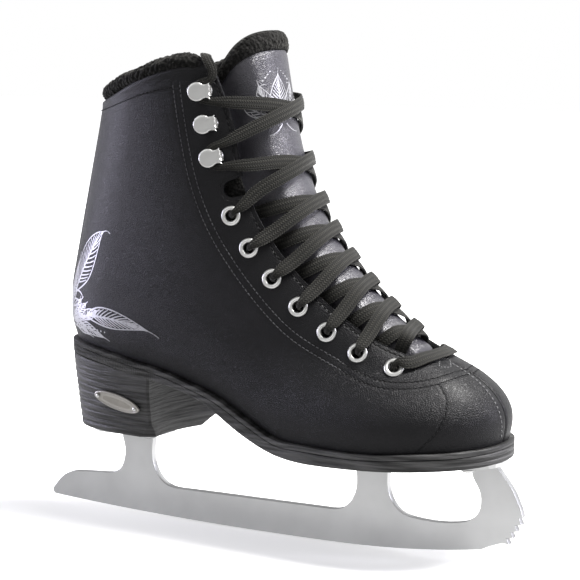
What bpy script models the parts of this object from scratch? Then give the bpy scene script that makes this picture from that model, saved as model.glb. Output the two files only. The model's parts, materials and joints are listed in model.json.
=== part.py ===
"""A figure skate for the right foot: a lined leather boot on a heeled sole, and a steel blade under it.

+X points to the toe, +Y to the inner side of the foot and +Z up, and the origin is on the blade's
edge where it meets the ice. Lengths are written in millimetres and become metres in each mesh.

Most of the boot is drawn on one form, the outside of the leather. A place on it is given by v, from
0 at the sole to 1 at the collar, and by turn, in degrees from the toe (0) round to the heel (180),
negative on the outer side of the foot. A rung is a line square across the lacing, named by the v
that it has on the ridge of the instep. Layers are given by their depth below or above the form.
"""

import math

import bmesh
import bpy
import numpy as np
from mathutils import Matrix, Vector

MM = 0.001
GAP = 0.3  # clearance between pieces that touch
SEAM = 0.25  # half the angle, in degrees, that a seam leaves open at the toe and at the heel

# The form's rows from the sole to the collar: x and z at the heel, x and z at the front ridge, then
# the half width at 0, 45, 90, 135 and 180 degrees on the outer side and on the inner side.
FORM = (
    (-110.0, 94.0, 132.0, 61.0, (66, 54, 35, 42, 56), (66, 58, 31, 42, 56)),
    (-113.0, 103.0, 133.5, 72.0, (67, 55.5, 38, 44, 56), (67, 59, 34, 44, 56)),
    (-114.0, 112.0, 128.5, 83.0, (63, 49, 37.5, 43.5, 53), (63, 53, 35, 43.5, 53)),
    (-113.5, 122.0, 114.0, 93.5, (58, 38, 37, 41.5, 49), (58, 41, 36, 41.5, 49)),
    (-111.0, 134.0, 89.5, 105.0, (49, 37, 36, 40.5, 44), (49, 39, 36, 40.5, 44)),
    (-107.5, 150.0, 65.0, 125.0, (46, 37, 35.5, 37.5, 40), (46, 38, 35.5, 37.5, 40)),
    (-103.0, 170.0, 41.0, 151.0, (43, 37, 35.5, 35.5, 36), (43, 37, 35.5, 35.5, 36)),
    (-97.5, 194.0, 22.0, 190.0, (41, 38, 37, 35.5, 33), (41, 38, 37, 35.5, 33)),
    (-92.0, 217.0, 11.0, 240.0, (40, 38.5, 38.5, 35.5, 31), (40, 38.5, 38.5, 35.5, 31)),
)
# How far the collar's edge arches above a straight line from heel to front.
COLLAR_ARCH = ((0, 0), (0.15, 0), (0.3, 2), (0.4, 3.8), (0.5, 5), (0.6, 5.4), (0.7, 4.5), (0.85, 1.5), (1, 0))
# Side view of the sole: height of its top, under the leather, and of its bottom, against x.
SOLE_TOP = (
    (-111, 94.5), (-95, 93.8), (-78, 91.8), (-63, 89.3), (-49, 87), (-35, 84), (-21, 79.8), (-8, 75.3),
    (6, 68.2), (18, 62.3), (28, 58.3), (42, 57.2), (65, 56.8), (87, 57.5), (105, 59), (122, 60), (132, 61),
)
SOLE_BOTTOM = (
    (-113, 87), (-95, 86.3), (-78, 84.5), (-63, 82.3), (-49, 80), (-35, 77.4), (-22, 74), (-10, 68.6),
    (2, 61.2), (14, 55), (26, 50.6), (40, 48.3), (60, 48.2), (88, 49.2), (109, 50.4), (126, 51.3), (137, 52.2),
)

# The lacing: the throat's edge and the facing's outer edge, as pairs of (rung, turn), collar to toe.
THROAT = (
    (1.000, 54.0, 1.000, 78.5), (0.965, 49.0, 0.965, 78.0), (0.930, 46.3, 0.930, 77.2),
    (0.895, 47.0, 0.893, 76.6), (0.850, 47.0, 0.845, 75.0), (0.800, 45.0, 0.795, 72.5),
    (0.750, 42.5, 0.745, 70.0), (0.695, 39.3, 0.690, 67.0), (0.635, 35.0, 0.632, 64.0),
    (0.575, 30.0, 0.575, 60.0), (0.516, 24.0, 0.510, 54.0), (0.475, 17.5, 0.445, 43.0),
    (0.453, 9.5, 0.395, 26.0), (0.447, 0.0, 0.363, 0.0),
)
EYELETS = (  # rung and turn of each eyelet, from the toe up
    (0.499, 38.1), (0.570, 45.0), (0.632, 48.5), (0.690, 52.3), (0.745, 55.8), (0.796, 58.5), (0.840, 60.5),
)
HOOKS = ((0.905, 63.0), (0.939, 63.0), (0.972, 64.0))

# Layers, as depths from the form.
UPPER = (-2.0, 0.0)
FACING = (-3.9, -3.0)  # the strip behind the leather that the eyelets are set through
STIFFENER = (-4.5, -3.3)
LINING = (-8.9, -5.9)
LINING_EDGE = (-6.2, -5.3)  # thinned beside the throat
LACE_UNDER = -8.2
TONGUE_CREST = -1.5
TONGUE_DEEP = -9.8
TONGUE_LEATHER = 1.6
TONGUE_PILE = 4.0
FACING_START = 0.06  # how far each layer stops from the throat's edge, as a share of the facing's width
LINING_START = 0.07
COLLAR_START = 64.0  # turn at which the collar's roll begins on each side

# The sole unit.
WELT_OUT = 2.5
WELT_IN = 9.0
WELT_HEIGHTS = (-3.0, -0.5)  # from the sole's top line
OUTSOLE_OUT = 2.0
OUTSOLE_TOP = -3.8
HEEL_BOTTOM = 46.5
HEEL_MIDDLE_X = -58.0
HEEL_LEVELS = (HEEL_BOTTOM, 56.0, 66.0, 76.0)

# The blade and what holds it.
BLADE_HALF = 2.0
ROCKER = 2134.0  # a 7 foot rocker
SPIN_ROCKER = 700.0
FLAT = (-1.0, 11.0)  # the short flat where the blade meets the ice
PLATE = 1.8
PLATE_GAP = 0.4
HEEL_PLATE = (HEEL_BOTTOM - GAP - 1.6, HEEL_BOTTOM - GAP)
SOLE_SCREWS = ((60.0, 17.0), (90.0, 17.5), (120.0, 12.5))
HEEL_SCREWS = ((-96.0, 5.5), (-64.0, 9.0))

TONGUE_HINGE = (101.3, 0.0, 91.4)
TONGUE_RUNGS = (0.425, 1.012)
TONGUE_TOP = 1.036
TONGUE_HALF_TURN = ((0.42, 26), (0.47, 31), (0.55, 39), (0.65, 47), (0.75, 54), (0.85, 60), (0.95, 60), (1.0, 54), (1.04, 53))


# ---------------------------------------------------------------------------------------- arithmetic


def spline(knots, values, at):
    """A natural cubic spline through values at the knots, read at each place in at."""
    knots, values, at = (np.asarray(item, float) for item in (knots, values, at))
    count = len(knots)
    step = np.diff(knots)
    matrix = np.eye(count)
    bend = np.zeros(values.shape)
    for i in range(1, count - 1):
        matrix[i, i - 1 : i + 2] = step[i - 1], 2 * (step[i - 1] + step[i]), step[i]
        bend[i] = 6 * ((values[i + 1] - values[i]) / step[i] - (values[i] - values[i - 1]) / step[i - 1])
    second = np.linalg.solve(matrix, bend.reshape(count, -1)).reshape(values.shape)
    piece = np.clip(np.searchsorted(knots, at) - 1, 0, count - 2)
    spread = at.shape + (1,) * (values.ndim - 1)
    along = (at - knots[piece]).reshape(spread)
    width = step[piece].reshape(spread)
    low, high = values[piece], values[piece + 1]
    bend_low, bend_high = second[piece], second[piece + 1]
    slope = (high - low) / width - width * (2 * bend_low + bend_high) / 6
    return low + slope * along + bend_low / 2 * along**2 + (bend_high - bend_low) / (6 * width) * along**3


def table(rows, at):
    """A spline read from a table of (place, value) rows."""
    rows = np.asarray(rows, float)
    return spline(rows[:, 0], rows[:, 1], at)


def run(points, count):
    """Points spread evenly along a smooth line through the given ones."""
    points = np.asarray(points, float)
    length = np.concatenate([[0], np.cumsum(np.linalg.norm(np.diff(points, axis=0), axis=1))])
    return spline(length, points, np.linspace(0, length[-1], count))


def mix(a, b, t):
    return a + (b - a) * t


def ease(t):
    t = np.clip(t, 0, 1)
    return t * t * (3 - 2 * t)


# ---------------------------------------------------------------------------------- the boot's form


def form(v, turn):
    """Points of the outside of the leather, with the shape of v and turn and three numbers each."""
    v, turn = np.broadcast_arrays(np.asarray(v, float), np.asarray(turn, float))
    shape = v.shape
    v = v.ravel()
    turn = np.radians((turn.ravel() + 180) % 360 - 180)
    rows = np.array([[*row[:4], *row[4], *row[5]] for row in FORM], float)
    back_x, back_z, front_x, front_z, *halves = spline(np.linspace(0, 1, len(FORM)), rows, v).T
    weights = spline(np.radians((0, 45, 90, 135, 180)), np.eye(5), np.abs(turn))
    outer = (weights * np.transpose(halves[:5])).sum(axis=1)
    inner = (weights * np.transpose(halves[5:])).sum(axis=1)
    forward = (1 + np.cos(turn)) / 2
    x = mix(back_x, front_x, forward)
    y = np.where(turn < 0, outer, inner) * np.sin(turn)
    sole_x = mix(-111, 130, forward)
    sole_shape = table(SOLE_TOP, sole_x) - mix(94.0, 61.0, forward)
    z = mix(back_z, front_z, forward) + np.maximum(1 - v, 0) ** 1.6 * sole_shape
    z = z + v**6 * table(COLLAR_ARCH, forward)
    return np.stack([x, y, z], axis=1).reshape(*shape, 3)


def outward(v, turn):
    """The form's unit normals."""
    v, turn = np.broadcast_arrays(np.asarray(v, float), np.asarray(turn, float))
    step = 0.002
    along = form(v, turn + 0.5) - form(v, turn - 0.5)
    up = form(v + step, turn) - form(v - step, turn)
    normal = np.cross(along, up)
    return normal / np.linalg.norm(normal, axis=-1, keepdims=True)


def layer(v, turn, depth):
    return form(v, turn) + outward(v, turn) * np.broadcast_to(depth, np.shape(v))[..., None]


def on_rung(rung, turn):
    """The v of a place on a rung, which falls away from the ridge towards the sides."""
    drop = 0.46 * np.maximum(0, (1 - rung) / 0.5) ** 1.3
    return rung - drop * (1 - np.cos(np.radians(turn)))


def facing_place(s, across):
    """(rung, turn) on the facing: s from 0 at the collar to 1 at the toe, across from 0 at the throat."""
    stations = np.array(THROAT)
    inner_rung, inner_turn, outer_rung, outer_turn = spline(np.linspace(0, 1, len(THROAT)), stations, s).T
    return mix(inner_rung, outer_rung, across), np.maximum(mix(inner_turn, outer_turn, across), SEAM)


def throat_turn(rung):
    """The turn of the throat's edge on each rung."""
    s = np.linspace(1, 0, 200)
    edge_rung, edge_turn = facing_place(s, 0)
    return np.interp(rung, edge_rung, edge_turn)


def from_throat(points, side):
    """Each point's distance from the throat's edge on one side."""
    rung, turn = facing_place(np.linspace(0, 1, 120), 0)
    edge = form(on_rung(rung, turn), side * turn)
    return np.linalg.norm(points[..., None, :] - edge, axis=-1).min(axis=-1)


def place_on_form(rung, turn, height=0.0):
    """A frame in metres on the form: Z is outward, and X points to the throat."""
    v = on_rung(rung, turn)
    z_axis = Vector(outward(v, turn))
    nearer = turn - math.copysign(1, turn)
    toward = Vector(form(on_rung(rung, nearer), nearer) - form(v, turn))
    y_axis = z_axis.cross(toward).normalized()
    x_axis = y_axis.cross(z_axis)
    frame = Matrix((x_axis, y_axis, z_axis)).transposed().to_4x4()
    frame.translation = Vector(layer(v, turn, height)) * MM
    return frame


# ------------------------------------------------------------------------------------ making solids


def clear_scene():
    for item in list(bpy.data.objects):
        bpy.data.objects.remove(item, do_unlink=True)


def collection(name):
    made = bpy.data.collections.new(name)
    bpy.context.scene.collection.children.link(made)
    return made


def material(name, colour, roughness, metallic=0.0):
    made = bpy.data.materials.new(name)
    made.use_nodes = True
    shader = made.node_tree.nodes["Principled BSDF"]
    shader.inputs["Base Color"].default_value = (*colour, 1)
    shader.inputs["Roughness"].default_value = roughness
    shader.inputs["Metallic"].default_value = metallic
    made.diffuse_color = (*colour, 1)
    return made


def finish_mesh(mesh, look):
    """Turns every face outward, shades the round stretches smooth and sets the material."""
    build = bmesh.new()
    build.from_mesh(mesh)
    bmesh.ops.recalc_face_normals(build, faces=build.faces)
    build.to_mesh(mesh)
    build.free()
    mesh.shade_smooth()
    mesh.set_sharp_from_angle(angle=math.radians(35))
    mesh.materials.clear()
    mesh.materials.append(look)


def solid(name, points, faces, look, group=None):
    """An object from points in millimetres."""
    mesh = bpy.data.meshes.new(name)
    mesh.from_pydata((np.reshape(points, (-1, 3)) * MM).tolist(), [], faces)
    finish_mesh(mesh, look)
    piece = bpy.data.objects.new(name, mesh)
    (group or PARTS).objects.link(piece)
    return piece


def quads(index):
    """The faces of a grid of point numbers."""
    return np.stack([index[:-1, :-1], index[:-1, 1:], index[1:, 1:], index[1:, :-1]], -1).reshape(-1, 4).tolist()


def slab(name, outside, inside, look):
    """A closed sheet between two grids of points."""
    rows, columns = outside.shape[:2]
    top = np.arange(rows * columns).reshape(rows, columns)
    rim = [*top[0, :-1], *top[:-1, -1], *top[-1, :0:-1], *top[:0:-1, 0]]
    places = outside.reshape(-1, 3)
    halves = []
    for a, b, c, d in quads(top):
        straight = np.linalg.norm(places[a] - places[c]) < np.linalg.norm(places[b] - places[d])
        halves += [(a, b, c), (a, c, d)] if straight else [(a, b, d), (b, c, d)]
    faces = [list(half) for half in halves] + [[i + rows * columns for i in half[::-1]] for half in halves]
    for a, b in zip(rim, rim[1:] + rim[:1]):
        faces.append([int(b), int(a), int(a) + rows * columns, int(b) + rows * columns])
    return solid(name, np.concatenate([outside.reshape(-1, 3), inside.reshape(-1, 3)]), faces, look)


def skin(name, v, turn, low, high, look):
    """A sheet that follows the form between two depths."""
    return slab(name, layer(v, turn, high), layer(v, turn, low), look)


def loft(name, rings, look, closed=False, group=None):
    """A solid through rings of points, capped at its ends unless it closes on itself."""
    count, around = rings.shape[:2]
    index = np.arange(count * around).reshape(count, around)
    index = np.concatenate([index, index[:, :1]], axis=1)
    if closed:
        index = np.concatenate([index, index[:1]], axis=0)
    faces = quads(index)
    if not closed:
        faces += [index[0, :-1].tolist(), index[-1, -2::-1].tolist()]
    return solid(name, rings, faces, look, group)


def turned_mesh(name, profile, steps, look, x=0.0):
    """The mesh of a turned piece about a line parallel to Z, from its profile of (radius, height)."""
    line = bpy.data.meshes.new(name)
    count = len(profile)
    edges = [(i, i + 1) for i in range(count - 1)]
    if profile[0][0] or profile[-1][0]:
        edges.append((count - 1, 0))
    line.from_pydata([(radius * MM, 0, height * MM) for radius, height in profile], edges, [])
    drawn = bpy.data.objects.new(name, line)
    PARTS.objects.link(drawn)
    screw = drawn.modifiers.new("Turn", "SCREW")
    screw.steps = screw.render_steps = steps
    screw.use_merge_vertices = True
    screw.merge_threshold = 1e-5
    bpy.context.view_layer.update()
    made = bpy.data.meshes.new_from_object(drawn.evaluated_get(bpy.context.evaluated_depsgraph_get()))
    bpy.data.objects.remove(drawn)
    made.transform(Matrix.Translation((x * MM, 0, 0)))
    finish_mesh(made, look)
    return made


def copy_of(name, mesh, frame, group=None):
    piece = bpy.data.objects.new(name, mesh)
    (group or PARTS).objects.link(piece)
    piece.matrix_world = frame
    return piece


def outline_plate(name, outline, half, look):
    """A flat plate standing in the XZ plane, from its outline in millimetres."""
    curve = bpy.data.curves.new(name, "CURVE")
    curve.dimensions = "2D"
    curve.fill_mode = "BOTH"
    curve.extrude = half * MM
    line = curve.splines.new("POLY")
    line.points.add(len(outline) - 1)
    for point, (x, z) in zip(line.points, outline):
        point.co = (x * MM, z * MM, 0, 1)
    line.use_cyclic_u = True
    curve.materials.append(look)
    piece = bpy.data.objects.new(name, curve)
    piece.rotation_euler = (math.pi / 2, 0, 0)
    PARTS.objects.link(piece)
    return piece


def cut(piece, cutters):
    """Takes away every shape in a collection."""
    boolean = piece.modifiers.new("Holes", "BOOLEAN")
    boolean.operation = "DIFFERENCE"
    boolean.operand_type = "COLLECTION"
    boolean.collection = cutters
    boolean.solver = "EXACT"


def hole(name, group, frame, radius, low, high):
    """A cylinder along a frame's Z that bores a hole, with its heights in millimetres."""
    build = bmesh.new()
    bmesh.ops.create_cone(
        build, cap_ends=True, segments=8, radius1=radius * MM, radius2=radius * MM, depth=(high - low) * MM
    )
    bmesh.ops.translate(build, verts=build.verts, vec=(0, 0, (high + low) / 2 * MM))
    mesh = bpy.data.meshes.new(name)
    build.to_mesh(mesh)
    build.free()
    cutter = copy_of(name, mesh, frame, group)
    cutter.hide_render = True
    cutter.display_type = "WIRE"


# -------------------------------------------------------------------------------- the leather upper


def half_boot(name, side, start, top_v, layers, rows, look):
    """One side of the boot from the sole to the collar and the throat, seamed at the heel and the toe.

    start is where its edge lies across the facing, layers gives its two depths at each grid point,
    and rows are the distances of its grid rows from the top edge, ended by evenly spaced ones.
    """
    collar_turn = mix(THROAT[0][1], THROAT[0][3], start)
    back = mix(180 - SEAM, collar_turn, np.linspace(0, 1, 11)[:-1])
    s = np.linspace(0, 1, 400)
    rung, turn = facing_place(s, start)
    edge_v = np.minimum(on_rung(rung, turn), top_v)
    edge = form(edge_v, turn)
    length = np.concatenate([[0], np.cumsum(np.linalg.norm(np.diff(edge, axis=0), axis=1))])
    share = np.linspace(0, 1, 17)
    along = share * length[-1]
    top_turns = np.concatenate([back, np.interp(along, length, turn)])
    top_vs = np.concatenate([np.full(len(back), top_v), np.interp(along, length, edge_v)])
    corner = 112.0
    bottom_turns = np.concatenate([mix(180 - SEAM, corner, np.linspace(0, 1, 11)[:-1]), mix(corner, SEAM, share)])

    fine = np.linspace(0, 1, 30)[:, None]
    column = form(fine * top_vs, side * mix(bottom_turns, top_turns, fine))
    height = np.linalg.norm(np.diff(column, axis=0), axis=-1).sum(axis=0)
    near, even = rows
    fractions = [1 - distance / height for distance in near]
    last = fractions[-1]
    fractions += [last * share for share in np.linspace(1, 0, even + 1)[1:]]
    fraction = np.array(fractions)
    v = fraction * top_vs
    turn = side * mix(bottom_turns, top_turns, fraction)
    low, high = layers(form(v, turn))
    return skin(name, v, turn, low, high, look)


def uppers():
    for name, side in SIDES:
        piece = half_boot(
            f"upper_{name}",
            side,
            0.0,
            1.0,
            lambda points: (np.full(points.shape[:-1], UPPER[0]), np.full(points.shape[:-1], UPPER[1])),
            ((0.0, 10.0), 8),
            LEATHER,
        )
        cut(piece, LACING_HOLES[side])
        cut(piece, ANKLE_CUTS[side])


def linings():
    for name, side in SIDES:

        def layers(points, side=side):
            away = from_throat(points, side)
            low = mix(LINING_EDGE[0], LINING[0], ease((away - 18) / 6))
            high = mix(LINING_EDGE[1], LINING[1], ease((away - 21) / 7))
            return low, high

        piece = half_boot(
            f"lining_{name}", side, LINING_START, 0.985, layers, ((0.0, 9.0, 18.0, 21.0, 24.5, 28.0), 4), FLEECE
        )
        cut(piece, LINING_HOLES[side])


def facings():
    """The strips behind the leather that carry the eyelets and hooks, cut away at the ankle."""
    across = np.array([FACING_START, 0.3, 0.55, 0.78, 1.0])[:, None]
    for name, side in SIDES:
        rung, turn = facing_place(np.linspace(0, 1, 29), across)
        v = np.minimum(on_rung(rung, turn), 0.99)
        piece = skin(
            f"facing_{name}", v, side * turn, np.full(v.shape, FACING[0]), np.full(v.shape, FACING[1]), LEATHER
        )
        cut(piece, LACING_HOLES[side])
        cut(piece, ANKLE_CUTS[side])


def backstay():
    half = 6.0
    v = np.linspace(0.01, 0.995, 12)[:, None]
    width = form(v, 90 + 0 * v)[..., 1]
    reach = np.degrees(half / mix(56.0, 31.0, v)) + 0 * width
    turn = 180 + reach * np.linspace(-1, 1, 5)
    v = v + 0 * turn
    skin("backstay", v, turn, np.full(v.shape, 0.8), np.full(v.shape, 2.4), LEATHER)


def stiffeners():
    """The heel counter and the toe box, between the leather and the lining."""
    v = np.linspace(0.02, 0.36, 5)[:, None]
    turn = np.linspace(120, 240, 13)
    v, turn = np.broadcast_arrays(v, turn)
    skin("heel_counter", v, turn, np.full(v.shape, STIFFENER[0]), np.full(v.shape, STIFFENER[1]), BOARD)
    v = np.linspace(0.02, 0.25, 6)[:, None]
    turn = np.linspace(-50, 50, 15)
    v, turn = np.broadcast_arrays(v, turn)
    skin("toe_box", v, turn, np.full(v.shape, STIFFENER[0]), np.full(v.shape, STIFFENER[1]), BOARD)


def collar_roll():
    """The plush roll along the collar's edge."""
    radius = 3.9
    lift = 4.6
    turn = np.linspace(COLLAR_START, 360 - COLLAR_START, 27)
    centre = layer(np.ones(turn.shape), turn, -radius)
    flat = outward(np.ones(turn.shape), turn) * (1, 1, 0)
    flat /= np.linalg.norm(flat, axis=-1, keepdims=True)
    angle = np.radians(np.arange(0, 360, 45))
    rings = centre[:, None] + (0, 0, lift)
    rings = rings + radius * (flat[:, None] * np.cos(angle)[:, None] + np.sin(angle)[:, None] * (0, 0, 1))
    loft("collar_roll", rings, FLEECE)


# -------------------------------------------------------------------------------------- the tongue


def tongue_depth(rung, turn):
    """The depth of the tongue's outer face: proud at its crest, and deep under the facings."""
    beside = np.abs(turn) / np.maximum(throat_turn(rung), 4)
    under = np.maximum(ease((beside - 0.45) / 0.6), ease((0.5 - rung) / 0.045))
    return mix(TONGUE_CREST, TONGUE_DEEP, under)


def tongue():
    across = np.linspace(-1, 1, 11)
    rung = np.linspace(*TONGUE_RUNGS, 15)[:, None] + 0 * across
    turn = table(TONGUE_HALF_TURN, rung.ravel()).reshape(rung.shape) * across
    depth = tongue_depth(rung, turn)
    shell = skin("tongue_shell", on_rung(rung, turn), turn, depth - TONGUE_LEATHER, depth, LEATHER)

    step = TONGUE_RUNGS[1] + 0.0015
    levels = np.concatenate([np.linspace(*TONGUE_RUNGS, 15), [step, step + 0.0002, 1.022, 1.03, TONGUE_TOP]])
    rise = np.array([0.0] * 16 + [2.4, 3.0, 2.0, -0.4])  # how far the roll stands over the pile's face
    sink = np.array([0.0] * 16 + [0.0, 0.0, 0.4, 2.2])
    rung = levels[:, None] + 0 * across
    turn = table(TONGUE_HALF_TURN, rung.ravel()).reshape(rung.shape) * across
    high = tongue_depth(rung, turn) - TONGUE_LEATHER - GAP + rise[:, None]
    low = tongue_depth(rung, turn) - TONGUE_LEATHER - GAP - TONGUE_PILE + sink[:, None]
    pile = skin("tongue_pile", on_rung(rung, turn), turn, low, high, FLEECE)

    hinge = bpy.data.objects.new("tongue_hinge", None)
    PARTS.objects.link(hinge)
    hinge.location = Vector(TONGUE_HINGE) * MM
    for piece in (shell, pile):
        piece.parent = hinge
        piece.matrix_parent_inverse = Matrix.Translation(-hinge.location)


# ------------------------------------------------------------------------------ eyelets, hooks, lace


def lacing_holes():
    """The bores for eyelets and hook rivets, and the cut that frees the facing at the ankle."""
    for name, side in SIDES:
        for number, (rung, turn) in enumerate(EYELETS, 1):
            frame = place_on_form(rung, side * turn)
            hole(f"eyelet_bore_{name}_{number}", LACING_HOLES[side], frame, 3.8, -7, 5)
            hole(f"eyelet_clearance_{name}_{number}", LINING_HOLES[side], frame, 4.8, -9, 5)
        for number, (rung, turn) in enumerate(HOOKS, 1):
            frame = place_on_form(rung, side * turn) @ Matrix.Translation((HOOK_FOOT * MM, 0, 0))
            hole(f"hook_bore_{name}_{number}", LACING_HOLES[side], frame, 2.1, -7, 5)
            hole(f"hook_clearance_{name}_{number}", LINING_HOLES[side], frame, 3.2, -9, 5)
        arc = np.radians(np.linspace(90, 270, 9))
        half = 4.2
        rim = [(half * math.cos(a), half * math.sin(a)) for a in arc] + [(22, -half - 2), (22, half + 2)]
        rings = np.array([[(x, y, z) for x, y in rim] for z in (-8.0, 8.0)])
        cutter = loft(f"ankle_cut_{name}", rings, LEATHER, group=ANKLE_CUTS[side])
        cutter.matrix_world = place_on_form(0.868, side * 55.5)
        cutter.hide_render = True
        cutter.display_type = "WIRE"


def eyelets():
    profile = (
        (2.65, 0.7), (4.0, 1.1), (5.0, 0.4), (3.2, 0.35), (3.2, -4.9), (4.2, -5.0), (3.8, -5.5), (2.65, -5.5),
    )
    mesh = turned_mesh("eyelet", profile, 9, NICKEL)
    for name, side in SIDES:
        for number, (rung, turn) in enumerate(EYELETS, 1):
            copy_of(f"eyelet_{name}_{number}", mesh, place_on_form(rung, side * turn))


def hooks():
    """A riveted foot, a neck on the throat side, and a round cap that keeps the lace in."""
    profile = ((0, 1.1), (3.7, 1.1), (3.7, 0.35), (1.5, 0.35), (1.5, -4.8), (2.6, -4.9), (2.4, -5.4), (0, -5.4))
    mesh = turned_mesh("hook", profile, 10, NICKEL, x=HOOK_FOOT)
    neck = [(5.6, 0.5), (6.6, 1.1), (6.6, 3.9), (5.4, 4.8), (2.0, 4.8), (2.0, 3.8), (5.0, 3.8), (5.4, 3.4), (5.4, 0.5)]
    rings = np.array([[(x, y, z) for x, z in neck] for y in (-2.3, 2.3)])
    joined = copy_of("hook", mesh, Matrix())
    cap = bmesh.new()
    bmesh.ops.create_cone(cap, cap_ends=True, segments=14, radius1=4.7 * MM, radius2=4.2 * MM, depth=1.2 * MM)
    bmesh.ops.translate(cap, verts=cap.verts, vec=(0, 0, 4.35 * MM))
    cap_mesh = bpy.data.meshes.new("hook_cap")
    cap.to_mesh(cap_mesh)
    cap.free()
    others = [loft("hook_neck", rings, NICKEL), copy_of("hook_cap", cap_mesh, Matrix())]
    for other in others:
        union = joined.modifiers.new(other.name, "BOOLEAN")
        union.operation = "UNION"
        union.solver = "EXACT"
        union.object = other
    bpy.context.view_layer.update()
    made = bpy.data.meshes.new_from_object(joined.evaluated_get(bpy.context.evaluated_depsgraph_get()))
    for item in (joined, *others):
        bpy.data.objects.remove(item)
    finish_mesh(made, NICKEL)
    for name, side in SIDES:
        for number, (rung, turn) in enumerate(HOOKS, 1):
            copy_of(f"hook_{name}_{number}", made, place_on_form(rung, side * turn))


OPEN = (3.4, 0.6)  # the lace's half width and half thickness where it lies flat
BUNCHED = (1.4, 0.9)  # and where it goes through an eyelet
HOOKED = (1.9, 0.85)
LACE_CREST = (0.2, 2.2)  # heights over the throat's middle of the strands that cross below and above


def lace_strand(start, end, side, crest):
    """From the hole of one eyelet over the throat and under the far facing to the next one's hole.

    Each point is (rung, turn, height, half width, half thickness)."""
    (rung_a, turn_a), (rung_b, turn_b) = start, end
    edge_a = throat_turn(rung_a) / turn_a
    edge_b = throat_turn(rung_b) / turn_b
    steps = (
        (1.0, -0.6, BUNCHED),
        (0.985, 1.7, BUNCHED),
        (0.94, 2.7, BUNCHED),
        (0.86, 2.5, (2.6, 0.8)),
        (edge_a, 1.6, OPEN),
        (edge_a * 0.55, crest + 0.3, OPEN),
        (0.0, crest, OPEN),
        (-edge_b * 0.5, crest - 0.2, OPEN),
        (-edge_b * 0.85, -4.9, OPEN),
        (-edge_b - 0.04, LACE_UNDER, (3.0, 0.6)),
        (-0.95, LACE_UNDER, (1.8, 0.7)),
        (-0.985, -7.0, BUNCHED),
        (-1.0, -3.4, BUNCHED),
    )
    points = []
    for share, height, section in steps:
        t = (1 - share) / 2
        points.append((mix(rung_a, rung_b, t), side * share * (turn_a if share > 0 else turn_b), height, *section))
    return points


def lace_half(side):
    """One half of the lace, from the middle of the bar at the toe to its end inside the collar."""
    (first_rung, first_turn), (second_rung, second_turn) = EYELETS[:2]
    edge = throat_turn(second_rung) / second_turn
    crest = LACE_CREST[side < 0] + 0.8
    points = [
        (0.484, 0.0, 2.4, *OPEN),
        (0.488, side * 10, 2.2, *OPEN),
        (0.493, side * 21, 2.0, *OPEN),
        (0.497, side * 31, 2.5, 2.6, 0.8),
        (0.499, side * 35.5, 2.7, *BUNCHED),
        (0.499, side * 37.5, 1.7, *BUNCHED),
        (first_rung, side * first_turn, -0.6, *BUNCHED),
        (first_rung, side * first_turn, -3.4, *BUNCHED),
        (0.500, side * 37.5, -7.0, *BUNCHED),
        (0.503, side * 35.5, LACE_UNDER, 1.8, 0.7),
        (0.514, side * 25.0, LACE_UNDER, 2.6, 0.6),
        (0.524, side * 13, crest, *OPEN),
        (0.536, 0.0, crest, *OPEN),
        (0.549, -side * edge * second_turn * 0.5, crest, *OPEN),
        (0.560, -side * edge * second_turn * 0.85, -4.9, *OPEN),
        (0.568, -side * (edge + 0.04) * second_turn, LACE_UNDER, 2.8, 0.6),
        (second_rung, -side * second_turn * 0.95, LACE_UNDER, 1.8, 0.7),
        (second_rung, -side * second_turn * 0.985, -7.0, *BUNCHED),
        (second_rung, -side * second_turn, -3.4, *BUNCHED),
    ]
    here = -side
    for start, end in zip(EYELETS[1:], EYELETS[2:]):
        points += lace_strand(start, end, here, LACE_CREST[here < 0])
        here = -here
    return points + lace_top(here)


def lace_top(side):
    """From the last eyelet to the lowest hook opposite, back to the top hook, and down inside the boot."""
    last_rung, last_turn = EYELETS[-1]
    far = -side
    first, second = LACE_CREST[side < 0], LACE_CREST[far < 0]
    return [
        (last_rung, side * last_turn, -0.6, *BUNCHED),
        (last_rung + 0.001, side * 59.5, 1.7, *BUNCHED),
        (last_rung + 0.003, side * 57.0, 2.7, *BUNCHED),
        (last_rung + 0.006, side * 52.5, 2.5, 2.6, 0.8),
        (0.853, side * 45, 1.8, *OPEN),
        (0.863, side * 24, first + 0.3, *OPEN),
        (0.873, 0.0, first, *OPEN),
        (0.882, far * 24, first + 0.3, *OPEN),
        (0.889, far * 45, 2.2, 3.0, 0.7),
        (0.893, far * 55, 2.45, *HOOKED),
        (0.896, far * 61, 2.45, *HOOKED),
        (0.905, far * 64.5, 2.45, *HOOKED),
        (0.914, far * 61, 2.45, *HOOKED),
        (0.917, far * 55, 2.45, *HOOKED),
        (0.922, far * 45, 2.2, 3.0, 0.7),
        (0.932, far * 24, second + 0.3, *OPEN),
        (0.942, 0.0, second, *OPEN),
        (0.951, side * 24, second + 0.3, *OPEN),
        (0.958, side * 45, 2.2, 3.0, 0.7),
        (0.961, side * 56, 2.45, *HOOKED),
        (0.964, side * 62, 2.45, *HOOKED),
        (0.972, side * 65.5, 2.45, *HOOKED),
        (0.980, side * 62, 2.45, *HOOKED),
        (0.984, side * 56, 2.6, *HOOKED),
        (0.993, side * 54.5, 2.6, 2.2, 0.8),
        (1.003, side * 56.0, 2.2, 2.4, 0.7),
        (1.011, side * 57.5, 1.2, 2.4, 0.7),
        (1.013, side * 57.8, -3.0, 2.4, 0.7),
        (1.010, side * 58.0, -7.5, 2.4, 0.7),
        (0.998, side * 60.0, -10.6, 2.6, 0.7),
        (0.975, side * 64.5, -11.0, 3.0, 0.7),
        (0.930, side * 69.0, -11.0, 3.0, 0.7),
        (0.880, side * 74.0, -11.0, 2.0, 0.8),
    ]


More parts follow.
